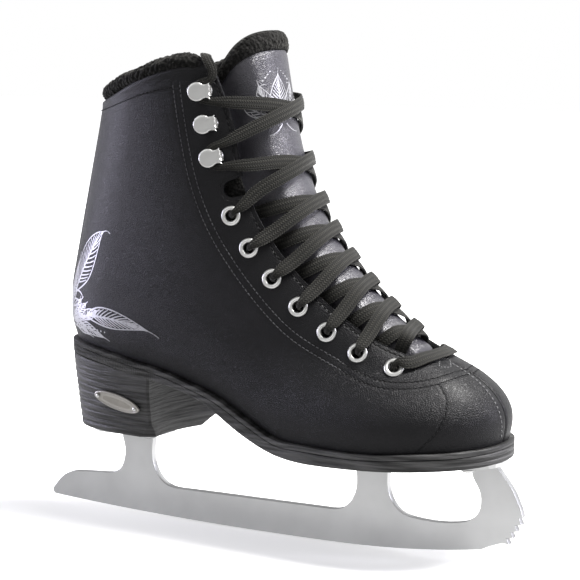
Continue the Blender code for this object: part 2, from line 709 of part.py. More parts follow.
def lace_route():
    """The lace's centre line, its flat direction and its half sizes at each step, in millimetres."""
    outer, inner = lace_half(-1), lace_half(1)
    knots = np.array(outer[::-1] + inner[1:], float)
    rung, turn, height, half_width, half_thick = knots.T
    v = on_rung(rung, turn)
    centre = layer(v, turn, height)
    length = np.concatenate([[0], np.cumsum(np.linalg.norm(np.diff(centre, axis=0), axis=1))])
    middle = (length[1:] + length[:-1]) / 2
    wide = np.diff(length) > 13
    at = np.sort(np.concatenate([length, middle[wide]]))
    centre = spline(length, centre, at)
    face = spline(length, outward(v, turn), at)
    half_width = np.interp(at, length, half_width)
    half_thick = np.interp(at, length, half_thick)
    forward = np.gradient(centre, axis=0)
    forward /= np.linalg.norm(forward, axis=1, keepdims=True)
    flat = np.zeros_like(centre)
    last = np.cross(forward[0], face[0])
    for i, (ahead, out) in enumerate(zip(forward, face)):
        wanted = np.cross(ahead, out)
        last = last - ahead * (last @ ahead)
        last /= np.linalg.norm(last)
        last = last + wanted * np.sign(wanted @ last) * (wanted @ wanted)
        last /= np.linalg.norm(last)
        flat[i] = last
    return centre, forward, flat, half_width, half_thick


def lace():
    centre, forward, flat, half_width, half_thick = lace_route()
    thick = np.cross(forward, flat)
    corners = ((1, 1), (-1, 1), (-1, -1), (1, -1))
    rings = [
        centre + flat * half_width[:, None] * a + thick * half_thick[:, None] * b for a, b in corners
    ]
    loft("lace", np.stack(rings, axis=1), LACE_CLOTH)
    for name, end, step in (("outer", 0, 1), ("inner", -1, -1)):
        along = -forward[end] * step
        start = centre[end] + along * GAP
        angle = np.radians(np.arange(0, 360, 45))
        ring = np.outer(np.cos(angle), flat[end]) * 1.7 + np.outer(np.sin(angle), thick[end]) * 1.3
        loft(f"aglet_{name}", np.stack([start + ring, start + along * 20 + ring]), PLASTIC)


# ----------------------------------------------------------------------------- the sole and the heel


def sole_outline(grow, turn):
    """The sole's plan outline: the edge of the form's bottom, grown outward."""
    edge = form(0 * turn, turn)[:, :2]
    step = form(0 * turn, turn + 0.5)[:, :2] - form(0 * turn, turn - 0.5)[:, :2]
    out = np.stack([step[:, 1], -step[:, 0]], axis=1)
    return edge + grow * out / np.linalg.norm(out, axis=1, keepdims=True)


def half_widths(grow, x):
    """y of the outer and of the inner side of the sole at each x."""
    found = []
    for side in (-1, 1):
        outline = sole_outline(grow, side * np.linspace(180, 0, 361))
        found.append(np.interp(x, outline[:, 0], outline[:, 1]))
    return found


def sole_layer(name, x, sides, low, high, look):
    """A layer that spans the sole from side to side at each x, flat across and curved along."""
    outer, inner = sides
    rings = np.stack([
        np.stack([x, outer, low], -1), np.stack([x, inner, low], -1),
        np.stack([x, inner, high], -1), np.stack([x, outer, high], -1),
    ], axis=1)  # fmt: skip
    return loft(name, rings, look)


def spread(start, stop, count):
    """Places closer together towards both ends, so that a rounded outline stays round."""
    return mix(start, stop, (1 - np.cos(np.radians(np.linspace(4, 176, count)))) / 2)


def sole_top(x):
    return table(SOLE_TOP, x)


def sole_bottom(x):
    return table(SOLE_BOTTOM, x)


def soles():
    turn = np.linspace(0, 360, 57)[:-1]
    rings = []
    for grow, level in ((WELT_OUT, 1), (WELT_OUT, 0), (-WELT_IN, 0), (-WELT_IN, 1)):
        outline = sole_outline(grow, turn)
        rings.append(np.column_stack([outline, sole_top(outline[:, 0]) + WELT_HEIGHTS[level]]))
    loft("welt", np.stack(rings, axis=1), RUBBER, closed=True)

    x = spread(-110 - OUTSOLE_OUT, 132 + OUTSOLE_OUT, 27)
    outsole = sole_layer("outsole", x, half_widths(OUTSOLE_OUT, x), sole_bottom(x), sole_top(x) + OUTSOLE_TOP, RUBBER)
    cut(outsole, SOLE_BORES)

    x = spread(-110 + 9.5, 132 - 9.5, 21)
    sides = half_widths(-9.5, x)
    sole_layer("insole_board", x, sides, sole_top(x) + 0.3, sole_top(x) + 2.6, BOARD)
    sole_layer("footbed", x, sides, sole_top(x) + 2.9, sole_top(x) + 6.4, FLEECE)
    x = spread(43, 118, 13)
    outer, inner = half_widths(-WELT_IN - 1, x)
    sole_layer("cork_filler", x, (outer, inner), sole_top(x) - 3.0, sole_top(x) - 0.4, BOARD)
    x = np.linspace(-72, 24, 13)
    half = np.full(x.shape, 7.0)
    sole_layer("shank", x, (-half, half), sole_top(x) - 2.6, sole_top(x) - 0.9, STEEL)


def heel_half_width(z, x):
    """Half the heel's width at each height and place along it: rounded at the back, wider at the top."""
    rise = (np.asarray(z, float) - HEEL_BOTTOM) / (87.0 - HEEL_BOTTOM)
    length = mix(52.5, 54.6, rise)
    width = table(((0, 22.8), (0.24, 26.0), (0.5, 29.2), (0.75, 31.8), (1, 33.4)), rise)
    back = np.clip((HEEL_MIDDLE_X - np.asarray(x, float)) / length, 0, 1)
    return width * (1 - back**2.2) ** (1 / 2.1)


def heel_stack():
    """A loft from the flat under the heel plate up to the sole, with a hollow breast that runs skew."""
    rings = []
    for step, level in enumerate((*HEEL_LEVELS, None)):
        rise = 1.0 if level is None else (level - HEEL_BOTTOM) / (87.0 - HEEL_BOTTOM)
        length = mix(52.5, 54.6, rise)
        angle = np.radians(np.linspace(8, 90, 8))
        side_x = HEEL_MIDDLE_X - length * np.sin(angle) ** (2 / 2.2)
        side_x = side_x[:-1]
        bottom = step == 0
        corner_outer = -61.0 if bottom else mix(-54.5, -49.5, rise)
        corner_inner = -56.0 if bottom else mix(-46.0, -36.0, rise)
        sample = 87.0 if level is None else level
        half = heel_half_width(sample, side_x)
        outer = [(corner_outer, -heel_half_width(sample, corner_outer))] + list(zip(side_x, -half))
        inner = [(corner_inner, heel_half_width(sample, corner_inner))] + list(zip(side_x, half))
        back = [(HEEL_MIDDLE_X - length, 0.0)]
        edge = 18.7 if bottom else float(heel_half_width(sample, -58)) - 1.2
        front_outer = corner_outer + (7.2 if bottom else 1.0)
        front_inner = corner_inner + (6.5 if bottom else 1.0)
        hollow = mix(2.5, 7.0, rise)
        breast = [
            (mix(front_outer, front_inner, t) - hollow * math.sin(math.pi * t), mix(-edge, edge, t))
            for t in (1.0, 0.75, 0.5, 0.25, 0.0)
        ]
        plan = np.array(outer + back + inner[::-1] + breast)
        height = sole_bottom(plan[:, 0]) - GAP if level is None else np.full(len(plan), level)
        rings.append(np.column_stack([plan, height]))
    rings = np.stack(rings)
    count, around = rings.shape[:2]
    index = np.arange(count * around).reshape(count, around)
    faces = quads(np.concatenate([index, index[:, :1]], axis=1))
    sides = (around - 6) // 2
    for ring in (index[0], index[-1]):
        across = ring[: 2 * sides + 1]
        for i in range(1, sides - 1):
            faces.append([int(across[k]) for k in (i, i + 1, -i - 2, -i - 1)])
        faces.append([int(across[k]) for k in (sides - 1, sides, sides + 1)])
        front = [across[-1], *ring[2 * sides + 1 :], across[0]]
        middle = len(front) // 2
        faces += [[int(across[-2]), int(a), int(b)] for a, b in zip(front[:middle], front[1 : middle + 1])]
        faces += [[int(across[1]), int(a), int(b)] for a, b in zip(front[middle:], front[middle + 1 :])]
        faces.append([int(k) for k in (across[1], across[-2], front[middle])])
    stack = solid("heel_stack", rings, faces, STACK)
    cut(stack, HEEL_BORES)


def badge():
    """An oval plate pinned to the heel's outer side, in line with the sole."""
    x, z = -70.3, 65.5
    y = -float(heel_half_width(z, x))
    along = Vector((1, -float(heel_half_width(z, x + 1) - heel_half_width(z, x - 1)) / 2, 0)).normalized()
    up = Vector((0, -float(heel_half_width(z + 1, x) - heel_half_width(z - 1, x)) / 2, 1)).normalized()
    out = along.cross(up).normalized()
    frame = Matrix((along, out.cross(along), out)).transposed().to_4x4()
    frame.translation = Vector((x, y, z)) * MM
    frame = frame @ Matrix.Rotation(math.radians(-12), 4, "Z")
    build = bmesh.new()
    bmesh.ops.create_cone(build, cap_ends=True, cap_tris=True, segments=24, radius1=1, radius2=0.93, depth=1)
    bmesh.ops.scale(build, verts=build.verts, vec=(14.4 * MM, 4.6 * MM, 1.1 * MM))
    bmesh.ops.translate(build, verts=build.verts, vec=(0, 0, 1.55 * MM))
    mesh = bpy.data.meshes.new("heel_badge")
    build.to_mesh(mesh)
    build.free()
    finish_mesh(mesh, NICKEL)
    plate = copy_of("heel_badge", mesh, frame)
    cut(plate, BADGE_BORES)
    pin = turned_mesh("badge_pin", ((0, 3.1), (0.8, 2.9), (1.2, 2.35), (0.6, 2.35), (0.6, -2.5), (0, -2.5)), 8, NICKEL)
    for name, shift in (("rear", -11.9), ("front", 11.9)):
        here = frame @ Matrix.Translation((shift * MM, 0, 0))
        copy_of(f"badge_pin_{name}", pin, here)
        hole(f"badge_bore_{name}", BADGE_BORES, here, 0.95, -3.2, 5)
        hole(f"badge_pin_bore_{name}", HEEL_BORES, here, 0.95, -3.2, 5)


# ---------------------------------------------------------------------------------------- the blade


def rocker(x):
    """Height of the blade's edge: flat where it stands, rising along two radii."""
    away = np.maximum(0, np.maximum(x - FLAT[1], FLAT[0] - x))
    return away**2 / (2 * ROCKER) + np.maximum(0, x - 45) ** 2 / (2 * SPIN_ROCKER)


def plate_low(x):
    return sole_bottom(x) - PLATE_GAP - PLATE


def stanchion_top(start, stop):
    """The top of a forward stanchion, which follows the sole plate."""
    x = np.linspace(start, stop, 3)
    return np.column_stack([x, plate_low(x) - GAP])


def blade():
    """Runner, stanchions and toe pick, cut from one sheet of steel."""
    x = np.concatenate([np.linspace(-131.5, FLAT[0], 8), np.linspace(FLAT[1], 45, 3), np.linspace(55, 122, 7)])
    edge = np.column_stack([x, rocker(x)])
    drag = [(126.4, 9.2), (129.8, 10.5), (133.2, 11.7), (135.2, 11.6)]
    tooth, rise = np.array((136.6, 11.4)), np.array((2.13, 3.47))
    teeth = []
    for number in range(4):
        teeth += [tooth + rise * number, tooth + rise * number + (-1.35, 3.1)]
    top_front = stanchion_top(129.4, 118.8)
    front = run([(143.6, 25.5), (142.6, 28.6), (140.9, 32.6), (138.7, 37.1), (133.8, 43.8), tuple(top_front[0])], 9)
    top_ball = stanchion_top(72.6, 53.4)
    arch = run([
        tuple(top_front[-1]), (117.0, 44.2), (118.4, 40.4), (120.9, 36), (121.8, 31), (120.6, 25.4), (117, 21.6),
        (109.3, 18.9), (97.9, 17.7), (87.3, 18.1), (78.5, 20.4), (73.6, 25.8), (71.7, 31.5), (71.5, 37.5),
        tuple(top_ball[0]),
    ], 30)  # fmt: skip
    top_heel = HEEL_PLATE[0] - GAP
    bay_front = run([tuple(top_ball[-1]), (54.2, 36.5), (54.3, 31), (52.6, 25), (48.6, 19.8), (42.5, 17.3), (36, 17)], 11)
    bay_back = run([
        (-45, 16.3), (-52, 16.2), (-58, 17.3), (-63.2, 21), (-66.3, 26), (-67.6, 32.3), (-67.3, 39), (-66.4, top_heel),
    ], 11)  # fmt: skip
    tail_top = run([(-87, top_heel), (-86.1, 39.9), (-84.8, 34), (-85.4, 28.3), (-87.8, 23.2), (-92.7, 20.3), (-99, 19.3)], 10)
    tail = run([(-117, 18.1), (-122, 16.7), (-126.8, 13.6), (-130.8, 9.2), (-132.6, 5.6), (-131.5, rocker(-131.5))], 8)
    outline = np.concatenate([
        edge, drag, teeth, front, top_front[1:-1], arch, top_ball[1:-1], bay_front, bay_back, tail_top, tail[:-1],
    ])  # fmt: skip
    outline_plate("blade_runner", outline, BLADE_HALF, STEEL)


def plates_and_screws():
    x = spread(47.5, 133, 19)
    middle = (x - 90.25) / 42.75
    half = 24.5 * (1 - np.abs(middle) ** 3) ** (1 / 3) * mix(1.0, 0.72, ease((x - 85) / 45))
    plate = sole_layer("sole_plate", x, (-half, half), plate_low(x), plate_low(x) + PLATE, STEEL)
    cut(plate, SOLE_BORES)
    screw = turned_mesh(
        "screw", ((0, 4.5), (1.4, 4.0), (1.8, 3.0), (1.8, -0.3), (3.7, -0.3), (3.2, -1.2), (1.6, -1.6), (0, -1.6)), 8, STEEL
    )
    number = 0
    for x, y in SOLE_SCREWS:
        slope = math.atan2(float(plate_low(x + 2.0) - plate_low(x - 2.0)), 4.0)
        for side in (-1, 1):
            number += 1
            frame = Matrix.Translation(Vector((x, side * y, float(plate_low(x)))) * MM)
            frame = frame @ Matrix.Rotation(-slope, 4, "Y")
            copy_of(f"sole_screw_{number}", screw, frame)
            hole(f"sole_bore_{number}", SOLE_BORES, frame, 2.25, -3, 5.1)

    x = spread(-103, -58, 11)
    half = np.minimum(14.0, heel_half_width(HEEL_BOTTOM, x) - 3.5) * (1 - np.abs((x + 80.5) / 22.5) ** 6) ** 0.4
    plate = sole_layer("heel_plate", x, (-half, half), 0 * x + HEEL_PLATE[0], 0 * x + HEEL_PLATE[1], STEEL)
    cut(plate, HEEL_BORES)
    number = 0
    for x, y in HEEL_SCREWS:
        for side in (-1, 1):
            number += 1
            frame = Matrix.Translation(Vector((x, side * y, HEEL_PLATE[0])) * MM)
            copy_of(f"heel_screw_{number}", screw, frame)
            hole(f"heel_bore_{number}", HEEL_BORES, frame, 2.25, -3, 5.1)


# ---------------------------------------------------------------------------------- the whole skate

HOOK_FOOT = 3.4
SIDES = (("outer", -1), ("inner", 1))

clear_scene()
PARTS = collection("figure_skate")
CUTTERS = collection("cutters")
LACING_HOLES, LINING_HOLES, ANKLE_CUTS = {}, {}, {}
for side_name, side_sign in SIDES:
    LACING_HOLES[side_sign] = collection(f"lacing_holes_{side_name}")
    LINING_HOLES[side_sign] = collection(f"lining_holes_{side_name}")
    ANKLE_CUTS[side_sign] = collection(f"ankle_cuts_{side_name}")
SOLE_BORES = collection("sole_bores")
HEEL_BORES = collection("heel_bores")
BADGE_BORES = collection("badge_bores")

LEATHER = material("black_leather", (0.012, 0.012, 0.014), 0.42)
FLEECE = material("black_plush", (0.008, 0.008, 0.009), 0.95)
LACE_CLOTH = material("black_lace", (0.014, 0.014, 0.013), 0.8)
RUBBER = material("black_sole", (0.02, 0.02, 0.022), 0.55)
STACK = material("charcoal_heel_stack", (0.035, 0.035, 0.038), 0.6)
BOARD = material("stiffener_board", (0.35, 0.27, 0.18), 0.85)
STEEL = material("brushed_steel", (0.62, 0.63, 0.64), 0.32, 1.0)
NICKEL = material("satin_nickel", (0.82, 0.82, 0.8), 0.28, 1.0)
PLASTIC = material("clear_black_tip", (0.02, 0.02, 0.02), 0.3)

lacing_holes()
uppers()
linings()
facings()
backstay()
stiffeners()
collar_roll()
tongue()
eyelets()
hooks()
lace()
soles()
heel_stack()
badge()
blade()
plates_and_screws()
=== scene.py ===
"""The figure skate's visual model: leather, plush, laces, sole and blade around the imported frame.

Lengths are written in millimetres, in the frame of the CAD, and become metres in each mesh. The boot
is drawn on one form, the outside of the leather: v runs from 0 at the sole to 1 at the collar, turn is
in degrees from the toe (0) round to the heel (180), negative on the outer side, and a rung is a line
square across the lacing, named by the v that it has on the ridge of the instep.
"""

import json
import math

import bmesh
import bpy
import numpy as np
from mathutils import Matrix, Vector

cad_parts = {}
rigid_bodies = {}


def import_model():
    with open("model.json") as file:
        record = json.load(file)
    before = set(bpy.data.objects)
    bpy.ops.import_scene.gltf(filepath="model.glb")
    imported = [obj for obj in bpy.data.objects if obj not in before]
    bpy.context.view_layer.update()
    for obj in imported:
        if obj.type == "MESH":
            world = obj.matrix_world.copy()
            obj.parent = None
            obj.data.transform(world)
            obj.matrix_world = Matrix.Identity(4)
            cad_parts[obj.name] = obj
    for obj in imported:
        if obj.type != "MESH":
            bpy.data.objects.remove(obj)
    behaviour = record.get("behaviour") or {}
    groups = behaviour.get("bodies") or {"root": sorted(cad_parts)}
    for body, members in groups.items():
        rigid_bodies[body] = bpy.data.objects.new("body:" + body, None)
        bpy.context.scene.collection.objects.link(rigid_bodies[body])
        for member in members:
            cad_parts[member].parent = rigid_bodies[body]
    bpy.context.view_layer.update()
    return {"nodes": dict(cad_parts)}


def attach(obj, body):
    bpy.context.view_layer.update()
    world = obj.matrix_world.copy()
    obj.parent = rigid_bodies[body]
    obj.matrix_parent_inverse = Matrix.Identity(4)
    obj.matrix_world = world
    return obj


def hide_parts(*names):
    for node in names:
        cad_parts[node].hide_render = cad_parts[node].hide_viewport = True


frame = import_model()
NODES = frame["nodes"]
MM = 0.001

# ------------------------------------------------------------------------------ the boot's form

FORM = (
    (-110.0, 94.0, 132.0, 61.0, (66, 54, 35, 42, 56), (66, 58, 31, 42, 56)),
    (-113.0, 103.0, 133.5, 72.0, (67, 55.5, 38, 44, 56), (67, 59, 34, 44, 56)),
    (-114.0, 112.0, 128.5, 83.0, (63, 49, 37.5, 43.5, 53), (63, 53, 35, 43.5, 53)),
    (-113.5, 122.0, 114.0, 93.5, (58, 38, 37, 41.5, 49), (58, 41, 36, 41.5, 49)),
    (-111.0, 134.0, 89.5, 105.0, (49, 37, 36, 40.5, 44), (49, 39, 36, 40.5, 44)),
    (-107.5, 150.0, 65.0, 125.0, (46, 37, 35.5, 37.5, 40), (46, 38, 35.5, 37.5, 40)),
    (-103.0, 170.0, 41.0, 151.0, (43, 37, 35.5, 35.5, 36), (43, 37, 35.5, 35.5, 36)),
    (-97.5, 194.0, 22.0, 190.0, (41, 38, 37, 35.5, 33), (41, 38, 37, 35.5, 33)),
    (-92.0, 217.0, 11.0, 240.0, (40, 38.5, 38.5, 35.5, 31), (40, 38.5, 38.5, 35.5, 31)),
)
COLLAR_ARCH = ((0, 0), (0.15, 0), (0.3, 2), (0.4, 3.8), (0.5, 5), (0.6, 5.4), (0.7, 4.5), (0.85, 1.5), (1, 0))
SOLE_TOP = (
    (-111, 94.5), (-95, 93.8), (-78, 91.8), (-63, 89.3), (-49, 87), (-35, 84), (-21, 79.8), (-8, 75.3),
    (6, 68.2), (18, 62.3), (28, 58.3), (42, 57.2), (65, 56.8), (87, 57.5), (105, 59), (122, 60), (132, 61),
)
SOLE_BOTTOM = (
    (-113, 87), (-95, 86.3), (-78, 84.5), (-63, 82.3), (-49, 80), (-35, 77.4), (-22, 74), (-10, 68.6),
    (2, 61.2), (14, 55), (26, 50.6), (40, 48.3), (60, 48.2), (88, 49.2), (109, 50.4),
    (126, 51.3), (137, 52.2),
)
THROAT = (
    (1.000, 54.0, 1.000, 78.5), (0.965, 49.0, 0.965, 78.0), (0.930, 46.3, 0.930, 77.2),
    (0.895, 47.0, 0.893, 76.6), (0.850, 47.0, 0.845, 75.0), (0.800, 45.0, 0.795, 72.5),
    (0.750, 42.5, 0.745, 70.0), (0.695, 39.3, 0.690, 67.0), (0.635, 35.0, 0.632, 64.0),
    (0.575, 30.0, 0.575, 60.0), (0.516, 24.0, 0.510, 54.0), (0.475, 17.5, 0.445, 43.0),
    (0.453, 9.5, 0.395, 26.0), (0.447, 0.0, 0.363, 0.0),
)
EYELETS = (
    (0.499, 38.1), (0.570, 45.0), (0.632, 48.5), (0.690, 52.3), (0.745, 55.8), (0.796, 58.5), (0.840, 60.5),
)
HOOKS = ((0.905, 63.0), (0.939, 63.0), (0.972, 64.0))
HOOK_SHIFT = 3.4  # from a hook's place to its rivet, towards the throat
SEAM = 0.25  # half of the turn between the two halves of the upper
SIDES = (("outer", -1), ("inner", 1))


def spline(knots, values, at):
    """A natural cubic spline through values at the knots, read at each place in at."""
    knots, values, at = (np.asarray(item, float) for item in (knots, values, at))
    count = len(knots)
    step = np.diff(knots)
    matrix = np.eye(count)
    bend = np.zeros(values.shape)
    for i in range(1, count - 1):
        matrix[i, i - 1 : i + 2] = step[i - 1], 2 * (step[i - 1] + step[i]), step[i]
        bend[i] = 6 * ((values[i + 1] - values[i]) / step[i] - (values[i] - values[i - 1]) / step[i - 1])
    second = np.linalg.solve(matrix, bend.reshape(count, -1)).reshape(values.shape)
    piece = np.clip(np.searchsorted(knots, at) - 1, 0, count - 2)
    spread = at.shape + (1,) * (values.ndim - 1)
    along = (at - knots[piece]).reshape(spread)
    width = step[piece].reshape(spread)
    low, high = values[piece], values[piece + 1]
    bend_low, bend_high = second[piece], second[piece + 1]
    slope = (high - low) / width - width * (2 * bend_low + bend_high) / 6
    return low + slope * along + bend_low / 2 * along**2 + (bend_high - bend_low) / (6 * width) * along**3


def table(rows, at):
    rows = np.asarray(rows, float)
    return spline(rows[:, 0], rows[:, 1], at)


def lengths(points):
    return np.concatenate([[0], np.cumsum(np.linalg.norm(np.diff(points, axis=0), axis=1))])


def unit(vectors):
    return vectors / np.linalg.norm(vectors, axis=-1, keepdims=True)


def directions(points):
    """Which way a line heads at each of its points."""
    return unit(np.gradient(points, axis=0))


def circle(count):
    return np.radians(np.arange(count) * 360 / count)


def run(points, count):
    """Points spread evenly along a smooth line through the given ones."""
    points = np.asarray(points, float)
    length = lengths(points)
    return spline(length, points, np.linspace(0, length[-1], count))


def mix(a, b, t):
    return a + (b - a) * t


def ease(t):
    t = np.clip(t, 0, 1)
    return t * t * (3 - 2 * t)


def form(v, turn):
    """Points of the outside of the leather."""
    v, turn = np.broadcast_arrays(np.asarray(v, float), np.asarray(turn, float))
    shape = v.shape
    v = v.ravel()
    turn = np.radians((turn.ravel() + 180) % 360 - 180)
    rows = np.array([[*row[:4], *row[4], *row[5]] for row in FORM], float)
    back_x, back_z, front_x, front_z, *halves = spline(np.linspace(0, 1, len(FORM)), rows, v).T
    weights = spline(np.radians((0, 45, 90, 135, 180)), np.eye(5), np.abs(turn))
    outer = (weights * np.transpose(halves[:5])).sum(axis=1)
    inner = (weights * np.transpose(halves[5:])).sum(axis=1)
    forward = (1 + np.cos(turn)) / 2
    x = mix(back_x, front_x, forward)
    y = np.where(turn < 0, outer, inner) * np.sin(turn)
    sole_shape = table(SOLE_TOP, mix(-111, 130, forward)) - mix(94.0, 61.0, forward)
    z = mix(back_z, front_z, forward) + np.maximum(1 - v, 0) ** 1.6 * sole_shape
    z = z + v**6 * table(COLLAR_ARCH, forward)
    return np.stack([x, y, z], axis=1).reshape(*shape, 3)


def outward(v, turn):
    v, turn = np.broadcast_arrays(np.asarray(v, float), np.asarray(turn, float))
    along = form(v, turn + 0.5) - form(v, turn - 0.5)
    up = form(v + 0.002, turn) - form(v - 0.002, turn)
    return unit(np.cross(along, up))


def layer(v, turn, depth):
    v, turn = np.broadcast_arrays(np.asarray(v, float), np.asarray(turn, float))
    return form(v, turn) + outward(v, turn) * np.broadcast_to(depth, v.shape)[..., None]


def on_rung(rung, turn):
    drop = 0.46 * np.maximum(0, (1 - np.asarray(rung, float)) / 0.5) ** 1.3
    return rung - drop * (1 - np.cos(np.radians(turn)))


def facing_place(s, across):
    stations = np.array(THROAT)
    inner_rung, inner_turn, outer_rung, outer_turn = spline(np.linspace(0, 1, len(THROAT)), stations, s).T
    return mix(inner_rung, outer_rung, across), np.maximum(mix(inner_turn, outer_turn, across), SEAM)


def throat_turn(rung):
    edge_rung, edge_turn = facing_place(np.linspace(1, 0, 200), 0)
    return np.interp(rung, edge_rung, edge_turn)


def facing_line(across, side, start=0.0, stop=1.0, count=260):
    """v and turn along the facing, at one place across it."""
    rung, turn = facing_place(np.linspace(start, stop, count), across)
    return np.minimum(on_rung(rung, turn), 0.995), side * turn


def find(points, v, turn):
    """v and turn of the places on the form nearest to the points, from a first guess."""
    v, turn = v + np.zeros(len(points)), turn + np.zeros(len(points))
    for _ in range(8):
        here = form(v, turn)
        by_v = (form(v + 0.001, turn) - here) / 0.001
        by_turn = (form(v, turn + 0.1) - here) / 0.1
        away = points - here
        a, b, c = ((p * q).sum(1) for p, q in ((by_v, by_v), (by_v, by_turn), (by_turn, by_turn)))
        p, q = (by_v * away).sum(1), (by_turn * away).sum(1)
        det = a * c - b * b
        v, turn = v + (c * p - b * q) / det, turn + (a * q - b * p) / det
    return v, turn


def place_on_form(rung, turn):
    """A frame in metres on the form: Z is outward, and X points to the throat along the rung."""
    v = on_rung(rung, turn)
    z_axis = Vector(outward(v, turn))
    nearer = turn - math.copysign(1, turn)
    toward = Vector(form(on_rung(rung, nearer), nearer) - form(v, turn))
    y_axis = z_axis.cross(toward).normalized()
    found = Matrix((y_axis.cross(z_axis), y_axis, z_axis)).transposed().to_4x4()
    found.translation = Vector(form(v, turn)) * MM
    return found


def cells(points, size, seed=0):
    """Cellular noise from 0 at the middle of each cell to about 1 between cells."""
    scaled = points / size
    base = np.floor(scaled).astype(int)
    best = np.full(len(points), 9.0)
    for dx in (-1, 0, 1):
        for dy in (-1, 0, 1):
            for dz in (-1, 0, 1):
                cell = base + (dx, dy, dz)
                key = (cell[:, 0] * 73856093) ^ (cell[:, 1] * 19349663) ^ (cell[:, 2] * 83492791) ^ seed
                spot = np.stack([(key * k + 12345) % 9973 / 9973 for k in (7919, 6101, 4787)], 1)
                best = np.minimum(best, ((cell + spot - scaled) ** 2).sum(1))
    return np.sqrt(best)


# ------------------------------------------------------------------------------------ materials


class Paint:
    """Builds one procedural material; the shader's constants are set on its own sockets."""

    def __init__(self, name, **constants):
        self.material = bpy.data.materials.new(name)
        self.material.use_nodes = True
        self.tree = self.material.node_tree
        self.shader = self.tree.nodes["Principled BSDF"]
        for key, value in constants.items():
            self.shader.inputs[key.replace("_", " ")].default_value = value
        self.where = self.node("ShaderNodeTexCoord").outputs["Object"]
        self.height = None

    def node(self, kind, inputs=None, **settings):
        made = self.tree.nodes.new(kind)
        for key, value in settings.items():
            setattr(made, key, value)
        for key, value in (inputs or {}).items():
            if isinstance(value, bpy.types.NodeSocket):
                self.tree.links.new(value, made.inputs[key])
            else:
                made.inputs[key].default_value = value
        return made

    def math(self, operation, a, b=0.0, clamp=False):
        return self.node("ShaderNodeMath", {0: a, 1: b}, operation=operation, use_clamp=clamp).outputs[0]

    def noise(self, scale, detail=4.0, vector=None, stretch=None):
        vector = vector or self.where
        if stretch:
            sides = {0: vector, 1: stretch}
            vector = self.node("ShaderNodeVectorMath", sides, operation="MULTIPLY").outputs[0]
        inputs = {"Vector": vector, "Scale": scale, "Detail": detail}
        return self.node("ShaderNodeTexNoise", inputs).outputs[0]

    def voronoi(self, scale, feature="F1"):
        kind = "ShaderNodeTexVoronoi"
        return self.node(kind, {"Vector": self.where, "Scale": scale}, feature=feature).outputs["Distance"]

    def attribute(self, name):
        return self.node("ShaderNodeAttribute", attribute_name=name).outputs["Fac"]

    def ramp(self, value, *stops):
        ramp = self.node("ShaderNodeValToRGB", {"Fac": value})
        ramp.color_ramp.elements[0].position, ramp.color_ramp.elements[1].position = stops[0][0], stops[-1][0]
        for place, _ in stops[1:-1]:
            ramp.color_ramp.elements.new(place)
        for element, (_, colour) in zip(ramp.color_ramp.elements, stops):
            element.color = (*colour, 1) if isinstance(colour, tuple) else (colour, colour, colour, 1)
        return ramp.outputs["Color"]

    def colour(self, value):
        self.tree.links.new(value, self.shader.inputs["Base Color"])

    def rough(self, value, low, high):
        spread = self.node("ShaderNodeMapRange", {"Value": value, "To Min": low, "To Max": high})
        self.tree.links.new(spread.outputs[0], self.shader.inputs["Roughness"])

    def bump(self, height, distance, strength=1.0):
        inputs = {"Height": height, "Distance": distance * MM, "Strength": strength}
        if self.height:
            inputs["Normal"] = self.height
        self.height = self.node("ShaderNodeBump", inputs).outputs["Normal"]
        self.tree.links.new(self.height, self.shader.inputs["Normal"])

    def groove(self, name, half):
        """1 on the line from which a named attribute gives the distance, fading out at half of the width."""
        away = self.math("ABSOLUTE", self.attribute(name))
        return self.math("SUBTRACT", 1.0, self.math("DIVIDE", away, half), clamp=True)


def leather(name, tint=(0.0042, 0.0042, 0.005), shine=0.25, gloss=(0.3, 0.54), seams=False):
    paint = Paint(name, Specular_IOR_Level=shine, Coat_Weight=0.04, Coat_Roughness=0.25)
    paint.shader.inputs["Specular Tint"].default_value = (0.98, 0.97, 1.0, 1)
    cloud = paint.noise(18.0, 3.0)
    light = tuple(channel * 1.45 for channel in tint)
    paint.colour(paint.ramp(cloud, (0.3, tint), (0.72, light)))
    grain = paint.voronoi(1150.0, "DISTANCE_TO_EDGE")
    pores = paint.ramp(grain, (0.0, 0.0), (0.22, 1.0))
    paint.rough(paint.noise(900.0, 5.0), *gloss)
    if seams:
        lines = paint.groove("seam_throat", half=0.5)
        for key, half in (("outer", 0.4), ("inner", 0.4), ("toe", 0.4)):
            lines = paint.math("MAXIMUM", lines, paint.groove(f"seam_{key}", half=half))
        paint.bump(paint.math("MULTIPLY", lines, -1.0), 0.3)
    paint.bump(paint.noise(60.0, 4.0), 0.35, 0.5)
    paint.bump(pores, 0.1, 0.9)
    paint.bump(paint.noise(2600.0, 2.0), 0.03, 0.6)
    return paint.material


def plush(name):
    paint = Paint(name, Roughness=0.95, Specular_IOR_Level=0.15, Sheen_Weight=0.16, Sheen_Roughness=0.5)
    paint.shader.inputs["Sheen Tint"].default_value = (0.55, 0.55, 0.5, 1)
    curl = paint.voronoi(620.0)
    # Painted shade: the colour is lighter on the tips of the curl cells and darker in the hollows between
    # them, where the bump sinks.
    paint.colour(paint.ramp(curl, (0.1, (0.016, 0.015, 0.015)), (0.75, (0.003, 0.003, 0.003))))
    paint.bump(paint.math("MULTIPLY", curl, -1.0), 0.7)
    paint.bump(paint.noise(2400.0, 3.0), 0.25, 0.8)
    return paint.material


